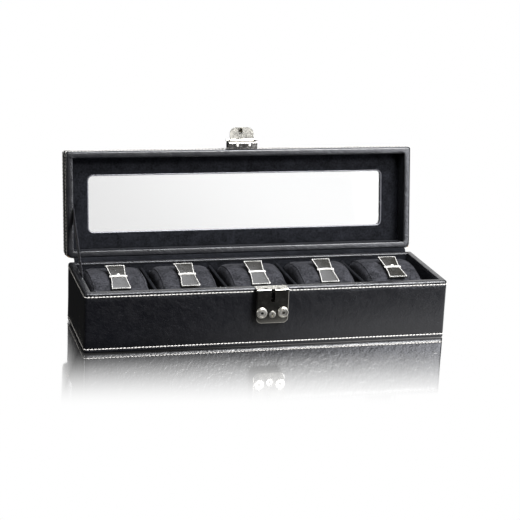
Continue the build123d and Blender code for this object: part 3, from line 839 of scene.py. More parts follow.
class LidStand:
    """Carries what is drawn with the lid down to where the lid stands, and back."""

    def __init__(self) -> None:
        """Reads the lid's hinge from the frame."""
        hinge = next(joint for joint in frame["joints"] if joint["name"] == "lid_hinge")
        self.axis = Vector(hinge["pos_m"])
        self.opening = math.radians(-min(hinge["range_deg"]))

    @property
    def matrix(self) -> Matrix:
        """The move from the lid down to the lid open."""
        turn = Matrix.Rotation(-self.opening, 4, "X")
        return Matrix.Translation(self.axis) @ turn @ Matrix.Translation(-self.axis)


# ------------------------------------------------------------------------------- leather and boards


@dataclass
class Wrap:
    """Leather drawn over a frame of boards: walls, a rolled rim with a lip turned in, and a hem.

    It is shaped with its rim at height zero, facing up.

    Attributes:
        length: Outside length.
        depth: Outside depth.
        height: From the rim to the foot.
        corners: Radius of the front corners and of the back corners.
        seams: Distance of each stitched line from the rim.
        hem: Width of the leather turned under at the foot, or zero.
    """

    length: float
    depth: float
    height: float
    corners: tuple[float, float]
    seams: tuple[float, ...]
    hem: float
    wall: float = 6.5 * MM
    lip: float = 3.0 * MM
    lip_roll: float = 1.0 * MM
    rim_roll: float = 2.0 * MM
    leather: float = 0.9 * MM
    groove: float = 0.3 * MM
    swell: float = 0.22 * MM

    @property
    def half(self) -> Vector:
        """Half the length and half the depth."""
        return Vector((self.length / 2, self.depth / 2, 0))

    def opening(self, shell: Shape, height: float, margin: float, facing: float) -> None:
        """Cuts the hole inside a flat margin.

        Args:
            shell: The shape to cut.
            height: The flat's height.
            margin: The width that stays.
            facing: One for a flat that faces up and minus one for one that faces down.
        """
        inner = self.half - Vector((margin, margin, 0))
        shell.slices(X, (-inner.x, inner.x))
        shell.slices(Y, (-inner.y, inner.y))
        shell.bm.normal_update()
        shell.drop(
            [
                face
                for face in shell.bm.faces
                if face.normal.z * facing > 0.9
                and abs(face.calc_center_median().z - height) < NEAR
                and abs(face.calc_center_median().x) < inner.x
                and abs(face.calc_center_median().y) < inner.y
            ]
        )

    def shape(self) -> Shape:
        """Shapes the leather's outer face.

        Returns:
            The leather, with its rim at height zero.
        """
        shell = Shape()
        half = self.half
        shell.block((-half.x, -half.y, -self.height), (half.x, half.y, 0))
        for side, radius in ((-1, self.corners[0]), (1, self.corners[1])):
            upright = shell.edges(
                lambda edge: rise(edge) > self.height / 2 and edge.verts[0].co.y * side > half.y - NEAR
            )
            shell.bevel(upright, radius, 6)
        shell.bevel(shell.edges(lambda edge: all(v.co.z > -HAIR for v in edge.verts)), self.rim_roll, 6)
        foot = shell.edges(lambda edge: all(v.co.z < -self.height + HAIR for v in edge.verts))
        shell.bevel(foot, 0.8 * MM, 3)
        self.opening(shell, 0.0, self.wall, 1)
        self.opening(shell, -self.height, self.hem or 1.2 * MM, -1)
        self.turn_lip(shell)
        self.work_surface(shell)
        return shell

    def turn_lip(self, shell: Shape) -> None:
        """Turns the leather down inside the rim.

        Args:
            shell: The leather.
        """
        inner = self.half - Vector((self.wall, self.wall, 0))

        def at_hole(edge: bmesh.types.BMEdge) -> bool:
            """Whether an edge lies on the rim's inner outline."""
            return all(
                abs(v.co.z) < HAIR and abs(v.co.x) < inner.x + NEAR and abs(v.co.y) < inner.y + NEAR
                for v in edge.verts
            )

        hole = shell.edges(lambda edge: edge.is_boundary and at_hole(edge))
        made = bmesh.ops.extrude_edge_only(shell.bm, edges=hole)["geom"]
        lowered = [item for item in made if isinstance(item, bmesh.types.BMVert)]
        bmesh.ops.translate(shell.bm, verts=lowered, vec=(0, 0, -self.lip))
        turned = shell.edges(
            lambda edge: at_hole(edge) and not edge.is_boundary and edge.calc_face_angle(0) > 1
        )
        shell.bevel(turned, self.lip_roll, 4)

    def work_surface(self, shell: Shape) -> None:
        """Presses the stitched lines in and lets the leather between them swell a little.

        Args:
            shell: The leather.
        """
        half = self.half
        step = 8 * MM
        across = int(half.x / step)
        deep = int(half.y / step)
        shell.slices(X, [number * step for number in range(-across, across + 1)])
        shell.slices(Y, [number * step for number in range(-deep, deep + 1)])
        offsets = (-1.3 * MM, -0.55 * MM, 0.0, 0.55 * MM, 1.3 * MM)
        for seam in self.seams:
            shell.slices(Z, [-seam + offset for offset in offsets])
        rows = int(self.height / step)
        shell.slices(Z, [-number * step for number in range(1, rows)])

        def on_wall(place: Vector) -> bool:
            """Whether a place is on the upright walls, away from the rim and the foot."""
            outside = abs(place.x) > half.x - NEAR or abs(place.y) > half.y - NEAR
            rounded = abs(place.x) > half.x - 6 * MM and abs(place.y) > half.y - 6 * MM
            return (outside or rounded) and -self.height + 1 * MM < place.z < -self.rim_roll

        def move(vertex: bmesh.types.BMVert) -> Vector:
            """Presses a vertex in near a seam and lets it swell elsewhere."""
            near = min((abs(vertex.co.z + seam) for seam in self.seams), default=1.0)
            pressed = -self.groove * max(0.0, 1 - near / (1.2 * MM))
            pillow = self.swell * noise.noise(vertex.co * 38) * min(1.0, near / (4 * MM))
            out = Vector((vertex.normal.x, vertex.normal.y, 0))
            return out * (pressed + pillow)

        shell.shift(on_wall, move)

    def stitches(self, keep: Test | None = None) -> Shape:
        """Sews the stitched lines.

        Args:
            keep: Says whether a stitch shows at a place.

        Returns:
            Every line's stitches, as one shape.
        """
        sewn = Shape()
        normal = wall_normal(self.half, self.corners)
        inset = Vector((0.12 * MM, 0.12 * MM, 0))
        outline = rounded_outline(self.half - inset, self.corners)
        for seam in self.seams:
            path = [point + Vector((0, 0, -seam)) for point in outline]
            sewn.take(Stitching().along(path, normal, keep=keep))
        return sewn


def box_size(node: str) -> tuple[Vector, Vector, Vector]:
    """A frame node's lowest corner, highest corner and size."""
    low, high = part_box(node)
    return low, high, high - low


@dataclass
class BaseCase:
    """The lower half of the box: leather, stitching that skips the lock and the hinge leaves, boards and
    felt.
    """

    lock_half: float = 15.1 * MM
    lock_gap: float = 0.4 * MM
    flange: float = 5.1 * MM
    recess: float = 0.86 * MM
    seam: float = 3.5 * MM
    hem: float = 6.6 * MM
    felt_corner: float = 3 * MM
    felt_proud: float = 0.5 * MM
    corners: tuple[float, float] = (2.5 * MM, 2.5 * MM)
    top: float = field(init=False)

    def build(self) -> None:
        """Makes the base's pieces."""
        _, high, size = box_size("base_leather")
        self.top = high.z
        height = self.top - self.felt_proud
        wrap = Wrap(size.x, size.y, height, self.corners, (self.seam, height - self.seam), self.hem)
        shell = wrap.shape()
        self.seat_lock(shell, wrap)
        lift = Matrix.Translation((0, 0, high.z))
        leather = piece(
            "base_leather_wrap",
            shell.carry(lift).mesh("base_leather_wrap"),
            LEATHER,
            "base",
            ["base_leather"],
        )
        thicken(leather, wrap.leather)
        sewn = wrap.stitches(lambda place: not self.covered(place, wrap))
        piece("base_stitching", sewn.carry(lift).mesh("base_stitching"), THREAD, "base")
        self.make_felt()
        dress_nodes(BOARD, *[f"base_{side}_board" for side in ("bottom", "front", "back", "left", "right")])

    def covered(self, place: Vector, wrap: Wrap) -> bool:
        """Whether the lock or a hinge leaf lies over a place on the walls.

        Args:
            place: The place, with the rim at height zero.
            wrap: The walls' leather.

        Returns:
            True where no stitch shows.
        """
        upper = place.z > -wrap.height / 2
        at_lock = place.y < 0 and abs(place.x) < self.lock_half + self.lock_gap and upper
        leaf_low, leaf_high, _ = box_size("hinge_right_base_leaf")
        at_leaf = place.y > wrap.half.y - 1 * MM and leaf_low.x < abs(place.x) < leaf_high.x
        return at_lock or (at_leaf and upper)

    def seat_lock(self, shell: Shape, wrap: Wrap) -> None:
        """Presses the rim down where the lock's flange laps over it.

        Args:
            shell: The leather.
            wrap: Its sizes.
        """
        edge = 0.3 * MM
        for place in (self.lock_half, self.lock_half + edge):
            shell.slices(X, (-place, place))
        inner = -wrap.half.y + self.flange
        shell.slices(Y, (inner, inner + edge))
        shell.shift(
            lambda place: abs(place.x) < self.lock_half + NEAR
            and place.y < inner + NEAR
            and place.z > -self.recess - NEAR,
            lambda vertex: Vector((0, 0, -self.recess - vertex.co.z)),
        )

    def make_felt(self) -> None:
        """Makes the felt that the box stands on, with rounded corners and a soft edge."""
        low, high, size = box_size("base_underside_felt")
        felt = Shape()
        felt.block(low, high)
        felt.bevel(felt.edges(lambda edge: rise(edge) > size.z / 2), self.felt_corner)
        rims = felt.edges(lambda edge: rise(edge) < size.z / 2)
        felt.bevel(rims, 0.3 * MM, 2)
        piece("underside_felt", felt.mesh("underside_felt"), FELT, "base", ["base_underside_felt"])


@dataclass
class LidCase:
    """The upper half of the box: leather, boards, glass, its velvet frame and the lining."""

    stand: LidStand
    rim: float
    height: float = 24.3 * MM
    sheet: float = 1.0 * MM
    corners: tuple[float, float] = (2.5 * MM, 5.0 * MM)
    seam: float = 5.0 * MM
    window: Vector = field(default_factory=lambda: Vector((146.5 * MM, 27.5 * MM, 0)))
    window_at: Vector = field(default_factory=lambda: Vector((-1 * MM, 1 * MM, 0)))
    window_corner: float = 5.0 * MM
    panel_low: float = 16.5 * MM
    panel: float = 1.78 * MM
    bead: float = 0.75 * MM
    lock_half: float = 14.4 * MM
    covers: float = 14 * MM
    wrap: Wrap = field(init=False)

    def build(self) -> None:
        """Makes the lid's pieces."""
        self.make_leather()
        self.make_top()
        self.make_panel()
        self.make_lining()
        dress_nodes(BOARD, *[f"lid_{side}_board" for side in ("front", "back", "left", "right")])
        dress_nodes(STAINED_BOARD, "lid_top_board")
        dress_nodes(GLASS, "lid_glass")

    def place(self, shape: Shape, level: float = 0.0) -> Shape:
        """Carries a shape drawn from a level above the lid's rim to its place."""
        return shape.carry(self.stand.matrix @ Matrix.Translation((0, 0, self.rim + level)))

    def make_leather(self) -> None:
        """Wraps the lid's walls, with the rim facing down when the lid is shut."""
        size = box_size("base_leather")[2]
        height = self.height - self.sheet
        self.wrap = Wrap(size.x, size.y, height, self.corners[::-1], (self.seam, height - 3.0 * MM), 0.0)
        over = Matrix.Rotation(math.pi, 4, "X")
        shell = self.wrap.shape().carry(over)
        leather = piece(
            "lid_leather_wrap",
            self.place(shell).mesh("lid_leather_wrap"),
            LEATHER,
            "lid",
            ["lid_side_leather"],
        )
        thicken(leather, self.wrap.leather)
        sewn = self.wrap.stitches(lambda place: not self.covered(place)).carry(over)
        piece("lid_stitching", self.place(sewn).mesh("lid_stitching"), THREAD, "lid")

    def covered(self, place: Vector) -> bool:
        """Whether the lock or a hinge leaf lies over a place on the upturned walls.

        Args:
            place: The place, with the rim at height zero.

        Returns:
            True where no stitch shows.
        """
        leaf_low, leaf_high, _ = box_size("hinge_right_lid_leaf")
        at_lock = place.y > 0 and abs(place.x) < self.lock_half
        at_leaf = place.y < 0 and leaf_low.x < abs(place.x) < leaf_high.x
        return (at_lock or at_leaf) and place.z > -self.covers

    def make_top(self) -> None:
        """Lays the leather sheet over the lid, with its window cut out and sewn round."""
        half = self.wrap.half
        sheet = Shape()
        sheet.block((-half.x, -half.y, 0), (half.x, half.y, self.sheet))
        for side, radius in ((-1, self.corners[0]), (1, self.corners[1])):
            upright = sheet.edges(
                lambda edge: rise(edge) > self.sheet / 2 and edge.verts[0].co.y * side > half.y - NEAR
            )
            sheet.bevel(upright, radius, 6)
        sheet.bevel(
            sheet.edges(lambda edge: all(v.co.z > self.sheet - HAIR for v in edge.verts)), 0.8 * MM, 4
        )
        self.cut_window(sheet)
        top = self.height - self.sheet
        piece(
            "lid_leather_top",
            self.place(sheet, top).mesh("lid_leather_top"),
            LEATHER,
            "lid",
            ["lid_top_leather"],
        )
        sewn = Shape()
        for centre, outline, corners in (
            (Vector(), half - Vector((4 * MM, 4 * MM, 0)), self.corners),
            (self.window_at, self.window + Vector((3.5 * MM, 3.5 * MM, 0)), (self.window_corner,) * 2),
        ):
            path = [centre + point for point in rounded_outline(outline, corners)]
            sewn.take(Stitching().along(path, lambda place: Z))
        piece("lid_top_stitching", self.place(sewn, self.height).mesh("lid_top_stitching"), THREAD, "lid")

    def cut_window(self, sheet: Shape) -> None:
        """Cuts the window through a flat sheet and closes its edges.

        Args:
            sheet: The sheet, lying flat.
        """
        cutter = Shape()
        reach = 0.02
        lift = Vector((0, 0, reach))
        cutter.block(self.window_at - self.window - lift, self.window_at + self.window + lift)
        cutter.bevel(cutter.edges(lambda edge: rise(edge) > reach), self.window_corner, 6)
        body = bpy.data.objects.new("sheet", bpy.data.meshes.new("sheet"))
        tool = bpy.data.objects.new("cutter", cutter.mesh("cutter"))
        for made in (body, tool):
            bpy.context.scene.collection.objects.link(made)
        sheet.bm.to_mesh(body.data)
        cut = body.modifiers.new("window", "BOOLEAN")
        cut.operation = "DIFFERENCE"
        cut.object = tool
        cut.solver = "EXACT"
        settle(body)
        sheet.bm.clear()
        sheet.bm.from_mesh(body.data)
        for made in (body, tool):
            bpy.data.objects.remove(made)

    def make_panel(self) -> None:
        """Makes the velvet covered frame round the glass, and the glossy bead round its window, whose
        mid-grey colour partly paints its highlight.
        """
        half = box_size("base_leather")[2] / 2 - Vector((6.55 * MM, 6.55 * MM, 0))
        panel = Shape()
        panel.block((-half.x, -half.y, 0), (half.x, half.y, self.panel))
        self.cut_window(panel)
        edges = panel.edges(
            lambda edge: all(v.co.z < HAIR for v in edge.verts) and edge.calc_face_angle(0) > 1
        )
        panel.bevel(edges, 0.9 * MM, 4)
        panel.heal()
        piece(
            "window_velvet_frame",
            self.place(panel, self.panel_low).mesh("window_velvet_frame"),
            LINING_VELVET,
            "lid",
            ["lid_inner_panel"],
        )
        inset = Vector((0.25 * MM, 0.25 * MM, 0))
        outline = rounded_outline(self.window - inset, (self.window_corner,) * 2)
        # The bead's mid-grey colour partly paints its highlight; the rest comes from its gloss.
        bead = tube([self.window_at + point for point in outline], self.bead, closed=True)
        placed = self.place(bead, self.panel_low + 0.9 * MM)
        piece("window_bead", placed.mesh("window_bead"), BEAD_WITH_PAINTED_HIGHLIGHT, "lid")

    def make_lining(self) -> None:
        """Lines the lid's walls with four velvet pads."""
        inner = box_size("base_leather")[2] / 2 - Vector((6.5 * MM, 6.5 * MM, 0))
        lining = pads(inner, 1.3 * MM, self.wrap.lip, self.panel_low + 1 * MM)
        piece(
            "lid_velvet_lining",
            self.place(lining).mesh("lid_velvet_lining"),
            LINING_VELVET,
            "lid",
            ["lid_wall_lining"],
        )


def pads(inner: Vector, thickness: float, low: float, high: float) -> Shape:
    """Four velvet pads that stand round the inside of a wall.

    Args:
        inner: Half the length and half the depth that they leave free.
        thickness: Their thickness.
        low: Height of their lower edge.
        high: Height of their upper edge.

    Returns:
        The pads, as one shape, with soft edges.
    """
    lining = Shape()
    outer = inner + Vector((thickness, thickness, 0))
    for side in (-1, 1):
        y = sorted((side * inner.y, side * outer.y))
        lining.block((-inner.x, y[0], low), (inner.x, y[1], high))
        x = sorted((side * inner.x, side * outer.x))
        lining.block((x[0], -outer.y, low), (x[1], outer.y, high))
    lining.bevel(list(lining.bm.edges), 0.5 * MM, 3)
    return lining


def tube(path: Sequence[Vector], radius: float, closed: bool) -> Shape:
    """A round bar along a path.

    Args:
        path: The points it follows.
        radius: Its radius.
        closed: Whether it joins up with its own start.

    Returns:
        The bar's shape.
    """
    line = bpy.data.curves.new("line", "CURVE")
    line.dimensions = "3D"
    line.bevel_depth = radius
    line.bevel_resolution = 2
    line.use_fill_caps = not closed
    spline = line.splines.new("POLY")
    spline.points.add(len(path) - 1)
    for point, place in zip(spline.points, path):
        point.co = (*place, 1)
    spline.use_cyclic_u = closed
    holder = bpy.data.objects.new("line", line)
    bpy.context.scene.collection.objects.link(holder)
    bpy.context.view_layer.update()
    mesh = bpy.data.meshes.new_from_object(holder.evaluated_get(bpy.context.evaluated_depsgraph_get()))
    bar = Shape()
    bar.bm.from_mesh(mesh)
    bpy.data.objects.remove(holder)
    bpy.data.meshes.remove(mesh)
    return bar.heal()


# ---------------------------------------------------------------------------------- inside the base


@dataclass
class Compartments:
    """The velvet floor, wall pads and dividers inside the base."""

    pad: float = 1.3 * MM
    divider_wave: float = 0.25 * MM

    def build(self) -> None:
        """Makes the lining and the dividers."""
        low, high, size = box_size("base_wall_lining")
        inner = size / 2 - Vector((self.pad, self.pad, 0))
        lining = pads(inner, self.pad, low.z, high.z)
        piece(
            "base_velvet_lining",
            lining.mesh("base_velvet_lining"),
            LINING_VELVET,
            "base",
            ["base_wall_lining"],
        )
        self.make_floor()
        for number in range(1, 5):
            self.make_divider(number)

    def make_floor(self) -> None:
        """Lays the velvet on the floor, with a slight swell in each compartment."""
        low, high, size = box_size("base_floor_lining")
        floor = Shape()
        floor.block(low, high)
        floor.slices(X, [low.x + size.x * step / 40 for step in range(1, 40)])
        floor.slices(Y, [low.y + size.y * step / 10 for step in range(1, 10)])
        floor.shift(
            lambda place: place.z > high.z - HAIR and abs(place.y) < size.y * 0.45,
            lambda vertex: Vector((0, 0, -0.15 * MM * (1 + noise.noise(vertex.co * 60)))),
        )
        piece("floor_velvet", floor.mesh("floor_velvet"), LINING_VELVET, "base", ["base_floor_lining"])

    def make_divider(self, number: int) -> None:
        """Makes one divider: card wrapped in velvet that rolls over its top edge.

        Args:
            number: Its place from the left.
        """
        node = f"divider_{number}"
        low, high, size = box_size(node)
        card = Shape()
        card.block(low, high)
        along = card.edges(
            lambda edge: all(v.co.z > high.z - HAIR for v in edge.verts)
            and abs(edge.verts[0].co.y - edge.verts[1].co.y) > size.y / 2
        )
        card.bevel(along, size.x * 0.48, 5)
        card.slices(Y, [low.y + size.y * step / 14 for step in range(1, 14)])
        card.slices(Z, [low.z + size.z * step / 8 for step in range(1, 8)])

        def wave(vertex: bmesh.types.BMVert) -> Vector:
            """Waves a vertex of the divider a little sideways."""
            seat = Vector((number * 3.1, vertex.co.y * 45, vertex.co.z * 30))
            return Vector(
                (self.divider_wave * noise.noise(seat), 0, 0.5 * self.divider_wave * noise.noise(seat * 2)),
            )

        card.shift(lambda place: abs(place.y) < size.y * 0.48 and place.z > low.z + 1 * MM, wave)
        piece(
            f"velvet_divider_{number}",
            card.mesh(f"velvet_divider_{number}"),
            LINING_VELVET,
            "base",
            [node],
        )


@dataclass
class WatchCushion:
    """One velvet watch cushion with welted ends and a leather pull tab sewn across its middle.

    Attributes:
        number: Its place from the left.
        pitch: Degrees that the tab's front half is tipped further up.
        roll: Degrees that the tab leans to the right.
        knot: Whether the bar tack ends in a knot at the middle.
    """

    number: int
    pitch: float = 0.0
    roll: float = 0.0
    knot: bool = False
    shrink: float = 0.7 * MM
    round_edge: float = 7 * MM
    voxel: float = 3.6 * MM
    pressure: float = 4.0
    frames: int = 20
    reach: float = 3.0 * MM
    front: float = 49.0 * MM
    back: float = 51.0 * MM
    crown: float = 60.5 * MM
    crown_y: float = 2.0 * MM
    seam_inset: float = 4.5 * MM
    tab_front: tuple[float, float] = (-34.0 * MM, 54.6 * MM)
    tab_waist: tuple[float, float] = (-15.5 * MM, 60.1 * MM)
    tab_back: tuple[float, float] = (3.0 * MM, 65.0 * MM)
    tab_half: tuple[float, float] = (7.2 * MM, 9.1 * MM)
    tab_thick: float = 1.3 * MM
    tack_threads: int = 15
    welt: float = 0.55 * MM
    cover: bpy.types.Object = field(init=False)
    rest: list[Vector] = field(init=False)

    @property
    def node(self) -> str:
        """The name that its frame nodes start with."""
        return f"cushion_{self.number}"

    def blank(self) -> bpy.types.Object:
        """Shapes the cushion a little small, ready to be filled.

        Returns:
            The cover, before it is filled.
        """
        low, high, size = box_size(f"{self.node}_cover")
        centre = (low + high) / 2
        half = size / 2 - Vector((self.shrink,) * 3)
        body = Shape()
        body.block(
            (centre.x - half.x, centre.y - half.y, low.z + self.shrink),
            (centre.x + half.x, centre.y + half.y, high.z),
        )
        steps = 10
        body.slices(Y, [centre.y - half.y + 2 * half.y * step / steps for step in range(1, steps)])
        body.shift(
            lambda place: place.z > high.z - HAIR,
            lambda vertex: Vector((0, 0, self.top(vertex.co.y) - self.shrink - vertex.co.z)),
        )
        sharp = body.edges(lambda edge: edge.calc_face_angle(0) > 0.6)
        body.bevel(sharp, self.round_edge, 4)
        name = f"{self.node}_velvet_cover"
        return piece(
            name, body.mesh(name), CUSHION_VELVET, self.node, [f"{self.node}_cover", f"{self.node}_foam"]
        )

    def top(self, y: float) -> float:
        """The height of the arched top at a depth, along the arc through front, crown and back.

        Args:
            y: The depth.

        Returns:
            The height.
        """
        half = 40.5 * MM
        if y < self.crown_y:
            share = (y + half) / (self.crown_y + half)
            return self.front + (self.crown - self.front) * (1 - (1 - share) ** 2)
        share = (half - y) / (half - self.crown_y)
        return self.back + (self.crown - self.back) * (1 - (1 - share) ** 2)

    def prepare(self) -> None:
        """Makes the cover's fine mesh and gives it cloth."""
        self.cover = self.blank()
        grid = self.cover.modifiers.new("voxels", "REMESH")
        grid.mode = "VOXEL"
        grid.voxel_size = self.voxel
        grid.use_smooth_shade = True
        settle(self.cover)
        self.rest = [vertex.co.copy() for vertex in self.cover.data.vertices]
        cloth = self.cover.modifiers.new("cloth", "CLOTH")
        cloth.settings.use_pressure = True
        cloth.settings.uniform_pressure_force = self.pressure
        cloth.settings.effector_weights.gravity = 0
        cloth.settings.bending_stiffness = 1.2
        cloth.point_cache.frame_start = 1
        cloth.point_cache.frame_end = self.frames

    def finish(self) -> None:
        """Takes the filled cover, holds its swell back, and sews it."""
        settle(self.cover)
        low, high, _ = box_size(f"{self.node}_cover")
        swell = max(
            (vertex.co - rest).length for vertex, rest in zip(self.cover.data.vertices, self.rest)
        )
        log.info("%s swelled by up to %.2f mm", self.node, swell / MM)
        for vertex, rest in zip(self.cover.data.vertices, self.rest):
            move = vertex.co - rest
            if move.length > self.reach:
                vertex.co = rest + move * (self.reach / move.length)
        self.pull_in(low, high)
        smooth = self.cover.modifiers.new("smooth", "SUBSURF")
        smooth.levels = smooth.render_levels = 1
        settle(self.cover)
        self.cover.data.polygons.foreach_set("use_smooth", [True] * len(self.cover.data.polygons))
        self.make_welts(low, high)
        self.make_tab((low.x + high.x) / 2)

    def pull_in(self, low: Vector, high: Vector) -> None:
        """Draws the cover in at its end seams and under the bar tack, and keeps it off the floor.

        Args:
            low: The cushion's lowest corner.
            high: Its highest corner.
        """
        centre = (low.x + high.x) / 2
        for vertex in self.cover.data.vertices:
            place = vertex.co
            inward = Vector((centre - place.x, 0, 38 * MM - place.z)).normalized()
            for seam in (low.x + self.seam_inset, high.x - self.seam_inset):
                near = abs(place.x - seam)
                place += inward * 0.5 * MM * max(0.0, 1 - near / (3 * MM))
            if place.z > 45 * MM:
                across = max(0.0, 1 - abs(place.x - centre) / (15 * MM))
                along = math.exp(-(((place.y - self.tab_waist[0]) / (7 * MM)) ** 2))
                place.z -= 1.1 * MM * across * along
                seat = Vector((place.x * 70, place.y * 55, self.number * 5.3))
                place.z += 0.5 * MM * noise.noise(seat)
            place.z = max(place.z, low.z + 0.05 * MM)

    def make_welts(self, low: Vector, high: Vector) -> None:
        """Sews a thin welt round the cover near each end.

        Args:
            low: The cushion's lowest corner.
            high: Its highest corner.
        """
        welts = Shape()
        for seam in (low.x + self.seam_inset, high.x - self.seam_inset):
            cover = bmesh.new()
            cover.from_mesh(self.cover.data)
            everything = [*cover.verts, *cover.edges, *cover.faces]
            cut = bmesh.ops.bisect_plane(
                cover, geom=everything, dist=1e-7, plane_co=(seam, 0, 0), plane_no=X
            )["geom_cut"]
            loop = ordered_loop([item for item in cut if isinstance(item, bmesh.types.BMEdge)])
            cover.free()
            welts.take(tube(loop, self.welt, closed=True))
        name = f"{self.node}_end_welts"
        piece(name, welts.mesh(name), CUSHION_VELVET, self.node)

    def tab_height(self, y: float) -> float:
        """The height of the tab's middle at a depth.

        Args:
            y: The depth.

        Returns:
            The height.
        """
        front_y, front_z = self.tab_front
        waist_y, waist_z = self.tab_waist
        back_y, back_z = self.tab_back
        if y < waist_y:
            share = (waist_y - y) / (waist_y - front_y)
            lift = math.tan(math.radians(self.pitch)) * (waist_y - y)
            return waist_z + (front_z - waist_z) * share + lift
        share = (y - waist_y) / (back_y - waist_y)
        return waist_z + (back_z - waist_z) * share

    def tab_width(self, y: float) -> float:
        """Half the tab's width at a depth, narrow at the waist.

        Args:
            y: The depth.

        Returns:
            Half the width.
        """
        reach = (self.tab_back[0] - self.tab_front[0]) / 2
        share = min(1.0, abs(y - self.tab_waist[0]) / reach)
        return self.tab_half[0] + (self.tab_half[1] - self.tab_half[0]) * share**1.2

    def on_tab(self, centre: float, across: float, y: float, lift: float = 0.0) -> Vector:
        """A place on the tab.

        Args:
            centre: The tab's middle in X.
            across: From minus one at its left edge to one at its right edge.
            y: The depth.
            lift: Height above the tab's middle.

        Returns:
            The place.
        """
        x = across * self.tab_width(y)
        cup = -0.35 * MM * across**2
        lean = -math.tan(math.radians(self.roll)) * x
        return Vector((centre + x, y, self.tab_height(y) + cup + lean + lift))

    def make_tab(self, centre: float) -> None:
        """Makes the waisted tab, its edge stitching and the bar tack across its waist.

        Args:
            centre: The tab's middle in X.
        """
        front, back = self.tab_front[0], self.tab_back[0]
        tab = Shape()
        place = Matrix.Translation((0, (front + back) / 2, 0)) @ Matrix.Diagonal(
            (1, (back - front) / 2, 1, 1)
        )
        bmesh.ops.create_grid(tab.bm, x_segments=10, y_segments=24, size=1.0, matrix=place)
        corners = [vertex for vertex in tab.bm.verts if len(vertex.link_edges) == 2]
        bmesh.ops.bevel(
            tab.bm,
            geom=corners,
            offset=0.09,
            offset_type="OFFSET",
            segments=3,
            profile=0.5,
            affect="VERTICES",
            material=-1,
        )
        for vertex in tab.bm.verts:
            vertex.co = self.on_tab(centre, vertex.co.x, vertex.co.y, self.tab_thick / 2)
        name = f"{self.node}_pull_tab"
        made = piece(name, tab.mesh(name), TAB_LEATHER, self.node, [f"{self.node}_tab"])
        thicken(made, self.tab_thick)
        bevel = made.modifiers.new("edge", "BEVEL")
        bevel.width = 0.35 * MM
        bevel.segments = 3
        bevel.angle_limit = math.radians(50)
        settle(made)
        made.data.polygons.foreach_set("use_smooth", [True] * len(made.data.polygons))
        made.data.set_sharp_from_angle(angle=math.radians(50))
        self.sew_tab(centre)

    def sew_tab(self, centre: float) -> None:
        """Sews the tab's edges all round and tacks it down across its waist.

        Args:
            centre: The tab's middle in X.
        """
        front, back = self.tab_front[0], self.tab_back[0]
        inset = 0.75 * MM
        steps = 14
        ys = [front + inset + (back - front - 2 * inset) * step / steps for step in range(steps + 1)]
        surface = self.tab_thick / 2 + 0.1 * MM
        right = [self.on_tab(centre, 1 - inset / self.tab_width(y), y, surface) for y in ys]
        left = [self.on_tab(centre, inset / self.tab_width(y) - 1, y, surface) for y in reversed(ys)]
        edge = Stitching(pitch=1.75 * MM, length=1.8 * MM, radius=0.42 * MM, slant=0.0)
        sewn = edge.along(right + left, lambda place: Z)
        waist = self.tab_waist[0]
        for thread in range(self.tack_threads):
            across = -1.04 + 2.08 * thread / (self.tack_threads - 1)
            start = self.on_tab(centre, across, waist - 1.15 * MM, surface + 0.2 * MM)
            end = self.on_tab(centre, across, waist + 1.15 * MM, surface + 0.2 * MM)
            add_stitch(sewn, start, end, 0.62 * MM)
        if self.knot:
            place = self.on_tab(centre, 0.0, waist + 1.0 * MM, surface + 0.9 * MM)
            knot = Matrix.Translation(place) @ Matrix.Diagonal((1.5 * MM, 1.1 * MM, 0.9 * MM, 1))
            bmesh.ops.create_icosphere(sewn.bm, subdivisions=2, radius=1.0, matrix=knot)
        name = f"{self.node}_tab_thread"
        piece(name, sewn.mesh(name), TAB_THREAD, self.node)


def add_stitch(row: Shape, start: Vector, end: Vector, radius: float) -> None:
    """Adds one thread between two places.

    Args:
        row: The shape that gets it.
        start: Where it comes up.
        end: Where it goes down.
        radius: Half its thickness.
    """
    along = end - start
    turn = along.to_track_quat("X", "Z").to_matrix().to_4x4()
    size = Matrix.Diagonal((along.length / 2 + radius, radius, radius, 1))
    matrix = Matrix.Translation((start + end) / 2) @ turn @ size
    bmesh.ops.create_uvsphere(row.bm, u_segments=6, v_segments=5, radius=1.0, matrix=matrix)


def ordered_loop(edges: Sequence[bmesh.types.BMEdge]) -> list[Vector]:
    """The places of a closed loop of edges, in order round it.

    Args:
        edges: The loop's edges, in any order.

    Returns:
        Places on the longest loop among the edges.
    """
    linked: dict[bmesh.types.BMVert, list[bmesh.types.BMVert]] = {}
    for edge in edges:
        for one, other in (edge.verts, reversed(edge.verts)):
            linked.setdefault(one, []).append(other)
    best: list[Vector] = []
    left = set(linked)
    while left:
        start = min(left, key=lambda vertex: vertex.index)
        path, here = [start], start
        left.discard(start)
        while True:
            ahead = [vertex for vertex in linked[here] if vertex in left]
            if not ahead:
                break
            here = ahead[0]
            left.discard(here)
            path.append(here)
        if len(path) > len(best):
            best = [vertex.co.copy() for vertex in path]
    return best


# ------------------------------------------------------------------------------- metal and ribbon


class CaseLock:
    """The two halves of the nickel case lock and the hinges."""

    def build(self) -> None:
        """Dresses the metal parts."""
        dress_nodes(NICKEL, "lock_case", "lid_lock_case")
        dress_nodes(
            SATIN_NICKEL, "lock_rivets", "lock_key_cylinder", "lock_bolt", "lid_lock_pins", "hasp_pin"
        )
        # The hasp gets the darker nickel, which is painted shade.
        dress_nodes(SHADED_HASP_NICKEL, "hasp")
        dress_nodes(
            STEEL, "lock_back_plate", "lock_detent_spring", "hinge_base_screws", "hinge_lid_screws"
        )
        for side in ("left", "right"):
            dress_nodes(STEEL, *[f"hinge_{side}_{part}" for part in ("base_leaf", "lid_leaf", "pin")])


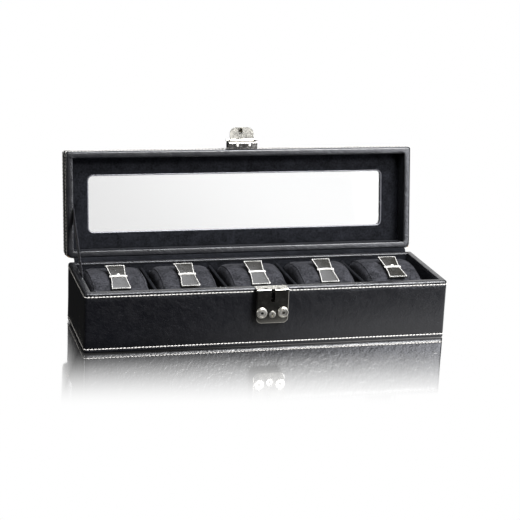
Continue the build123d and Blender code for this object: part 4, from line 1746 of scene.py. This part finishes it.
@dataclass
class HingeGusset:
    """The cloth strip that closes the gap between the base and the lid along the hinges.

    Attributes:
        half: Half its length.
        stand: Where the lid stands, with the hinge's axis.
        reach: Distance from the axis where it leaves the base, at its crown and where it meets the lid.
        turn: Degrees about the axis of the same three places.
        tail: What is glued down on each side.
    """

    stand: LidStand
    half: float = 164 * MM
    reach: tuple[float, float, float] = (3.45 * MM, 3.15 * MM, 3.95 * MM)
    turn: tuple[float, float, float] = (178.0, 115.0, 51.0)
    tail: float = 1.6 * MM
    thickness: float = 0.5 * MM
    steps: int = 12

    def build(self) -> None:
        """Makes the strip as a sheet that bends between base and lid."""
        spots = []
        for step in range(self.steps + 1):
            share = step / self.steps
            turn = math.radians(self.turn[0] + (self.turn[2] - self.turn[0]) * share)
            sides = ((1 - share) * (1 - 2 * share), 4 * share * (1 - share), share * (2 * share - 1))
            reach = sum(part * weight for part, weight in zip(self.reach, sides))
            spots.append(self.stand.axis + reach * Vector((0, math.cos(turn), math.sin(turn))))
        first = (spots[0] - spots[1]).normalized() * self.tail
        last = (spots[-1] - spots[-2]).normalized() * self.tail
        spots = [spots[0] + first, *spots, spots[-1] + last]
        strip = Shape()
        line = [strip.bm.verts.new((-self.half, spot.y, spot.z)) for spot in spots]
        edges = [strip.bm.edges.new(pair) for pair in zip(line, line[1:])]
        bmesh.ops.extrude_edge_only(strip.bm, edges=edges)
        far = [vertex for vertex in strip.bm.verts if vertex not in line]
        bmesh.ops.translate(strip.bm, verts=far, vec=(2 * self.half, 0, 0))
        strip.slices(X, [-self.half + 2 * self.half * step / 48 for step in range(1, 48)])
        bmesh.ops.recalc_face_normals(strip.bm, faces=strip.bm.faces)
        name = "hinge_gusset_strip"
        made = piece(name, strip.mesh(name), LINING_VELVET, "")
        thicken(made, self.thickness)
        width = sum((one - other).length for one, other in zip(spots, spots[1:]))
        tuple(spots[1])
        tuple(spots[-2])
        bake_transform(made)


@dataclass
class RibbonStay:
    """The ribbon that holds the lid, pulled straight between the left walls."""

    stand: LidStand
    width: float = 10 * MM
    thickness: float = 0.4 * MM
    steps: int = 28
    base_end: tuple[float, float] = (0.0, 49.0 * MM)
    lid_end: tuple[float, float] = (-4.0 * MM, 68.2 * MM)

    def build(self) -> None:
        """Makes the ribbon as a sheet that bends between base and lid."""
        low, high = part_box("ribbon_stay")
        x = (low.x + high.x) / 2
        start = Vector((x, *self.base_end))
        end = self.stand.matrix @ Vector((x, *self.lid_end))
        length = (end - start).length
        climb = math.atan2(end.z - start.z, end.y - start.y)
        middle = (start + end) / 2
        ribbon = Shape()
        flat = Matrix.Diagonal((length / 2, self.width / 2, 1, 1))
        bmesh.ops.create_grid(ribbon.bm, x_segments=self.steps, y_segments=4, size=1.0, matrix=flat)
        upright = Matrix.Rotation(math.pi / 2, 4, "Z") @ Matrix.Rotation(math.pi / 2, 4, "X")
        ribbon.carry(Matrix.Translation(middle) @ Matrix.Rotation(climb, 4, "X") @ upright)
        name = "ribbon_lid_stay"
        made = piece(name, ribbon.mesh(name), RIBBON, "", ["ribbon_stay"])
        thicken(made, self.thickness)
        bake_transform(made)


# ------------------------------------------------------------------------------------------ studio


class Light(Enum):
    """The studio's soft boxes: place, size in metres, strength in watts and colour."""

    OVERHEAD = ((0.35, -0.7, 1.35), (0.8, 0.6), 30.0, "#f6f8ff")
    EDGE = ((0.65, -1.35, 1.05), (0.5, 0.35), 33.0, "#ffffff")
    BACK = ((0.27, 0.58, 1.1), (0.9, 0.42), 5.0, "#f7f9ff")
    FRONT = ((1.05, -1.4, 0.35), (0.9, 0.5), 13.0, "#f4f6ff")
    SIDE = ((-1.3, -0.15, 0.42), (0.5, 0.4), 5.0, "#ffffff")


@dataclass
class Studio:
    """The plain floor, backdrop light, soft boxes and camera.

    Attributes:
        place: The camera's place.
        yaw: Degrees that the camera is turned to the right of straight ahead.
        pitch: Degrees that it looks down.
        roll: Degrees that it is tilted.
        lens: Its focal length in millimetres, on a sensor as wide as sensor.
        floor_half: Half the floor's side.
        fade: Distances in front of the box between which the floor's polish fades out.
        behind: Depths between which it fades out behind the front.
        beside: The same to the right of the box.
        glow_ahead: Distances between which the light that the floor throws back fades out.
        glow_across: Places in X between which that light rises.
    """

    place: tuple[float, float, float] = (-0.3902, -1.4107, 0.4938)
    yaw: float = 15.536
    pitch: float = 16.254
    roll: float = 2.591
    lens: float = 113.455
    sensor: float = 36.0
    floor_half: float = 6.0
    fade: tuple[float, float] = (0.058, 0.199)
    behind: tuple[float, float] = (0.03, 0.06)
    beside: tuple[float, float] = (0.172, 0.19)
    glow_ahead: tuple[float, float] = (0.08, 0.15)
    glow_across: tuple[float, float] = (-0.15, 0.2)

    def build(self) -> None:
        """Makes everything that isn't the box."""
        self.make_floor()
        self.make_world()
        for light in Light:
            self.make_light(light)
        self.make_camera()

    def make_camera(self) -> None:
        """Makes the camera and lets the scene use it."""
        yaw, pitch, roll = (math.radians(angle) for angle in (self.yaw, self.pitch, self.roll))
        ahead = Vector(
            (math.sin(yaw) * math.cos(pitch), math.cos(yaw) * math.cos(pitch), -math.sin(pitch))
        )
        level = Vector((math.cos(yaw), -math.sin(yaw), 0))
        upright = level.cross(ahead)
        right = math.cos(roll) * level + math.sin(roll) * upright
        up = math.cos(roll) * upright - math.sin(roll) * level
        data = bpy.data.cameras.new("camera")
        data.lens = self.lens
        data.sensor_width = self.sensor
        made = bpy.data.objects.new("camera", data)
        turn = Matrix((right, up, -ahead)).transposed().to_4x4()
        made.matrix_world = Matrix.Translation(self.place) @ turn
        bpy.context.scene.collection.objects.link(made)
        bpy.context.scene.camera = made

    def make_light(self, light: Light) -> None:
        """Hangs one soft box, aimed at the middle of the box.

        Args:
            light: The soft box.
        """
        place, size, power, colour = light.value
        data = bpy.data.lights.new(light.name.lower(), "AREA")
        data.shape = "RECTANGLE"
        data.size, data.size_y = size
        data.energy = power
        data.color = linear(colour)[:3]
        made = bpy.data.objects.new(light.name.lower(), data)
        aim = Vector((0, 0, 60 * MM)) - Vector(place)
        made.matrix_world = Matrix.Translation(place) @ aim.to_track_quat("-Z", "Y").to_matrix().to_4x4()
        bpy.context.scene.collection.objects.link(made)

    def make_floor(self) -> None:
        """Lays a wide pale floor with a soft polish that fades away from the box."""
        floor = Shape()
        bmesh.ops.create_grid(floor.bm, x_segments=1, y_segments=1, size=self.floor_half)
        made = bpy.data.objects.new("floor", floor.mesh("floor"))
        bpy.context.scene.collection.objects.link(made)
        made.data.materials.append(self.floor_material())

    def floor_material(self) -> bpy.types.Material:
        """White lacquered board: bright to look at, dim in what it throws back at the box.

        Returns:
            The floor's material.
        """
        made = bpy.data.materials.new("white_lacquered_board")
        made.use_nodes = True
        tree = made.node_tree
        tree.nodes.clear()
        place = add_node(tree, "ShaderNodeTexCoord").outputs["Object"]
        apart = add_node(tree, "ShaderNodeSeparateXYZ", links={0: place})
        ahead = add_node(
            tree, "ShaderNodeVectorMath", {"operation": "DOT_PRODUCT", 1: (-0.13, -1.0, 0.0)}, {0: place}
        ).outputs["Value"]
        aside = add_node(
            tree,
            "ShaderNodeMath",
            {"operation": "MULTIPLY_ADD", 1: -3.7, 2: -3.7 * 170 * MM + 50 * MM},
            {0: apart.outputs["X"]},
        ).outputs[0]
        distance = add_node(tree, "ShaderNodeMath", {"operation": "MAXIMUM"}, {0: ahead, 1: aside})
        ramps = {}
        for name, socket, span, values in (
            ("fade", distance.outputs[0], self.fade, (1.0, 0.0)),
            ("before", apart.outputs["Y"], self.behind, (1.0, 0.0)),
            ("within", apart.outputs["X"], self.beside, (1.0, 0.0)),
            ("near", ahead, self.glow_ahead, (1.0, 0.03)),
            ("right", apart.outputs["X"], self.glow_across, (0.015, 1.0)),
        ):
            ramp = {"From Min": span[0], "From Max": span[1], "To Min": values[0], "To Max": values[1]}
            ramps[name] = add_node(
                tree,
                "ShaderNodeMapRange",
                {"interpolation_type": "SMOOTHSTEP", **ramp},
                {"Value": socket},
            ).outputs["Result"]
        framed = add_node(
            tree, "ShaderNodeMath", {"operation": "MULTIPLY"}, {0: ramps["before"], 1: ramps["within"]}
        )
        mirrored = add_node(
            tree, "ShaderNodeMath", {"operation": "MULTIPLY"}, {0: ramps["fade"], 1: framed.outputs[0]}
        )
        white = add_node(tree, "ShaderNodeEmission", {"Color": (1, 1, 1, 1), "Strength": 1.0})
        gloss = add_node(tree, "ShaderNodeBsdfGlossy", {"Color": (1, 1, 1, 1), "Roughness": 0.05})
        seen = add_node(
            tree,
            "ShaderNodeMixShader",
            links={0: mirrored.outputs[0], 1: white.outputs[0], 2: gloss.outputs[0]},
        )
        glow = add_node(
            tree, "ShaderNodeMath", {"operation": "MULTIPLY"}, {0: ramps["near"], 1: ramps["right"]}
        )
        dim = add_node(tree, "ShaderNodeEmission", {"Color": (1, 1, 1, 1)}, {"Strength": glow.outputs[0]})
        path = add_node(tree, "ShaderNodeLightPath")
        shown = add_node(
            tree,
            "ShaderNodeMixShader",
            links={0: path.outputs["Is Camera Ray"], 1: dim.outputs[0], 2: seen.outputs[0]},
        )
        add_node(tree, "ShaderNodeOutputMaterial", links={"Surface": shown.outputs[0]})
        return made

    def make_world(self) -> None:
        """Surrounds the box with white that throws little light, except from behind."""
        world = bpy.data.worlds.new("studio")
        bpy.context.scene.world = world
        world.use_nodes = True
        tree = world.node_tree
        tree.nodes.clear()
        direction = add_node(tree, "ShaderNodeTexCoord").outputs["Generated"]
        facing = add_node(
            tree,
            "ShaderNodeVectorMath",
            {"operation": "DOT_PRODUCT", 1: (0.267, 0.916, 0.3)},
            {0: direction},
        )
        dim = add_node(
            tree,
            "ShaderNodeMapRange",
            {"From Min": 0.93, "From Max": 0.97, "To Min": 0.05, "To Max": 1.0},
            {"Value": facing.outputs["Value"]},
        )
        path = add_node(tree, "ShaderNodeLightPath")
        strength = add_node(
            tree,
            "ShaderNodeMix",
            {"data_type": "FLOAT", 3: 1.0},
            {0: path.outputs["Is Camera Ray"], 2: dim.outputs["Result"]},
        )
        back = add_node(
            tree, "ShaderNodeBackground", {"Color": (1, 1, 1, 1)}, {"Strength": strength.outputs[0]}
        )
        add_node(tree, "ShaderNodeOutputWorld", links={"Surface": back.outputs[0]})


def fill_cushions(cushions: Sequence[WatchCushion]) -> None:
    """Swells every cushion's cover with cloth under pressure, all at once.

    Args:
        cushions: The cushions.
    """
    for cushion in cushions:
        cushion.prepare()
    scene = bpy.context.scene
    for number in range(1, cushions[0].frames + 1):
        scene.frame_set(number)
    for cushion in cushions:
        cushion.finish()
    scene.frame_set(1)


def main() -> None:
    """Builds the watch box, then the studio round it."""
    logging.basicConfig(level=logging.INFO, format="%(message)s")
    bpy.context.scene.view_settings.view_transform = "Standard"
    stand = LidStand()
    base = BaseCase()
    base.build()
    LidCase(stand, base.top + 0.2 * MM).build()
    Compartments().build()
    fill_cushions(
        [
            WatchCushion(1, pitch=-1.0, knot=True),
            WatchCushion(2, pitch=-0.5),
            WatchCushion(3, pitch=-2.5),
            WatchCushion(4, pitch=-3.5),
            WatchCushion(5, pitch=5.0, knot=True),
        ]
    )
    CaseLock().build()
    HingeGusset(stand).build()
    RibbonStay(stand).build()
    Studio().build()


if __name__ == "__main__":
    main()
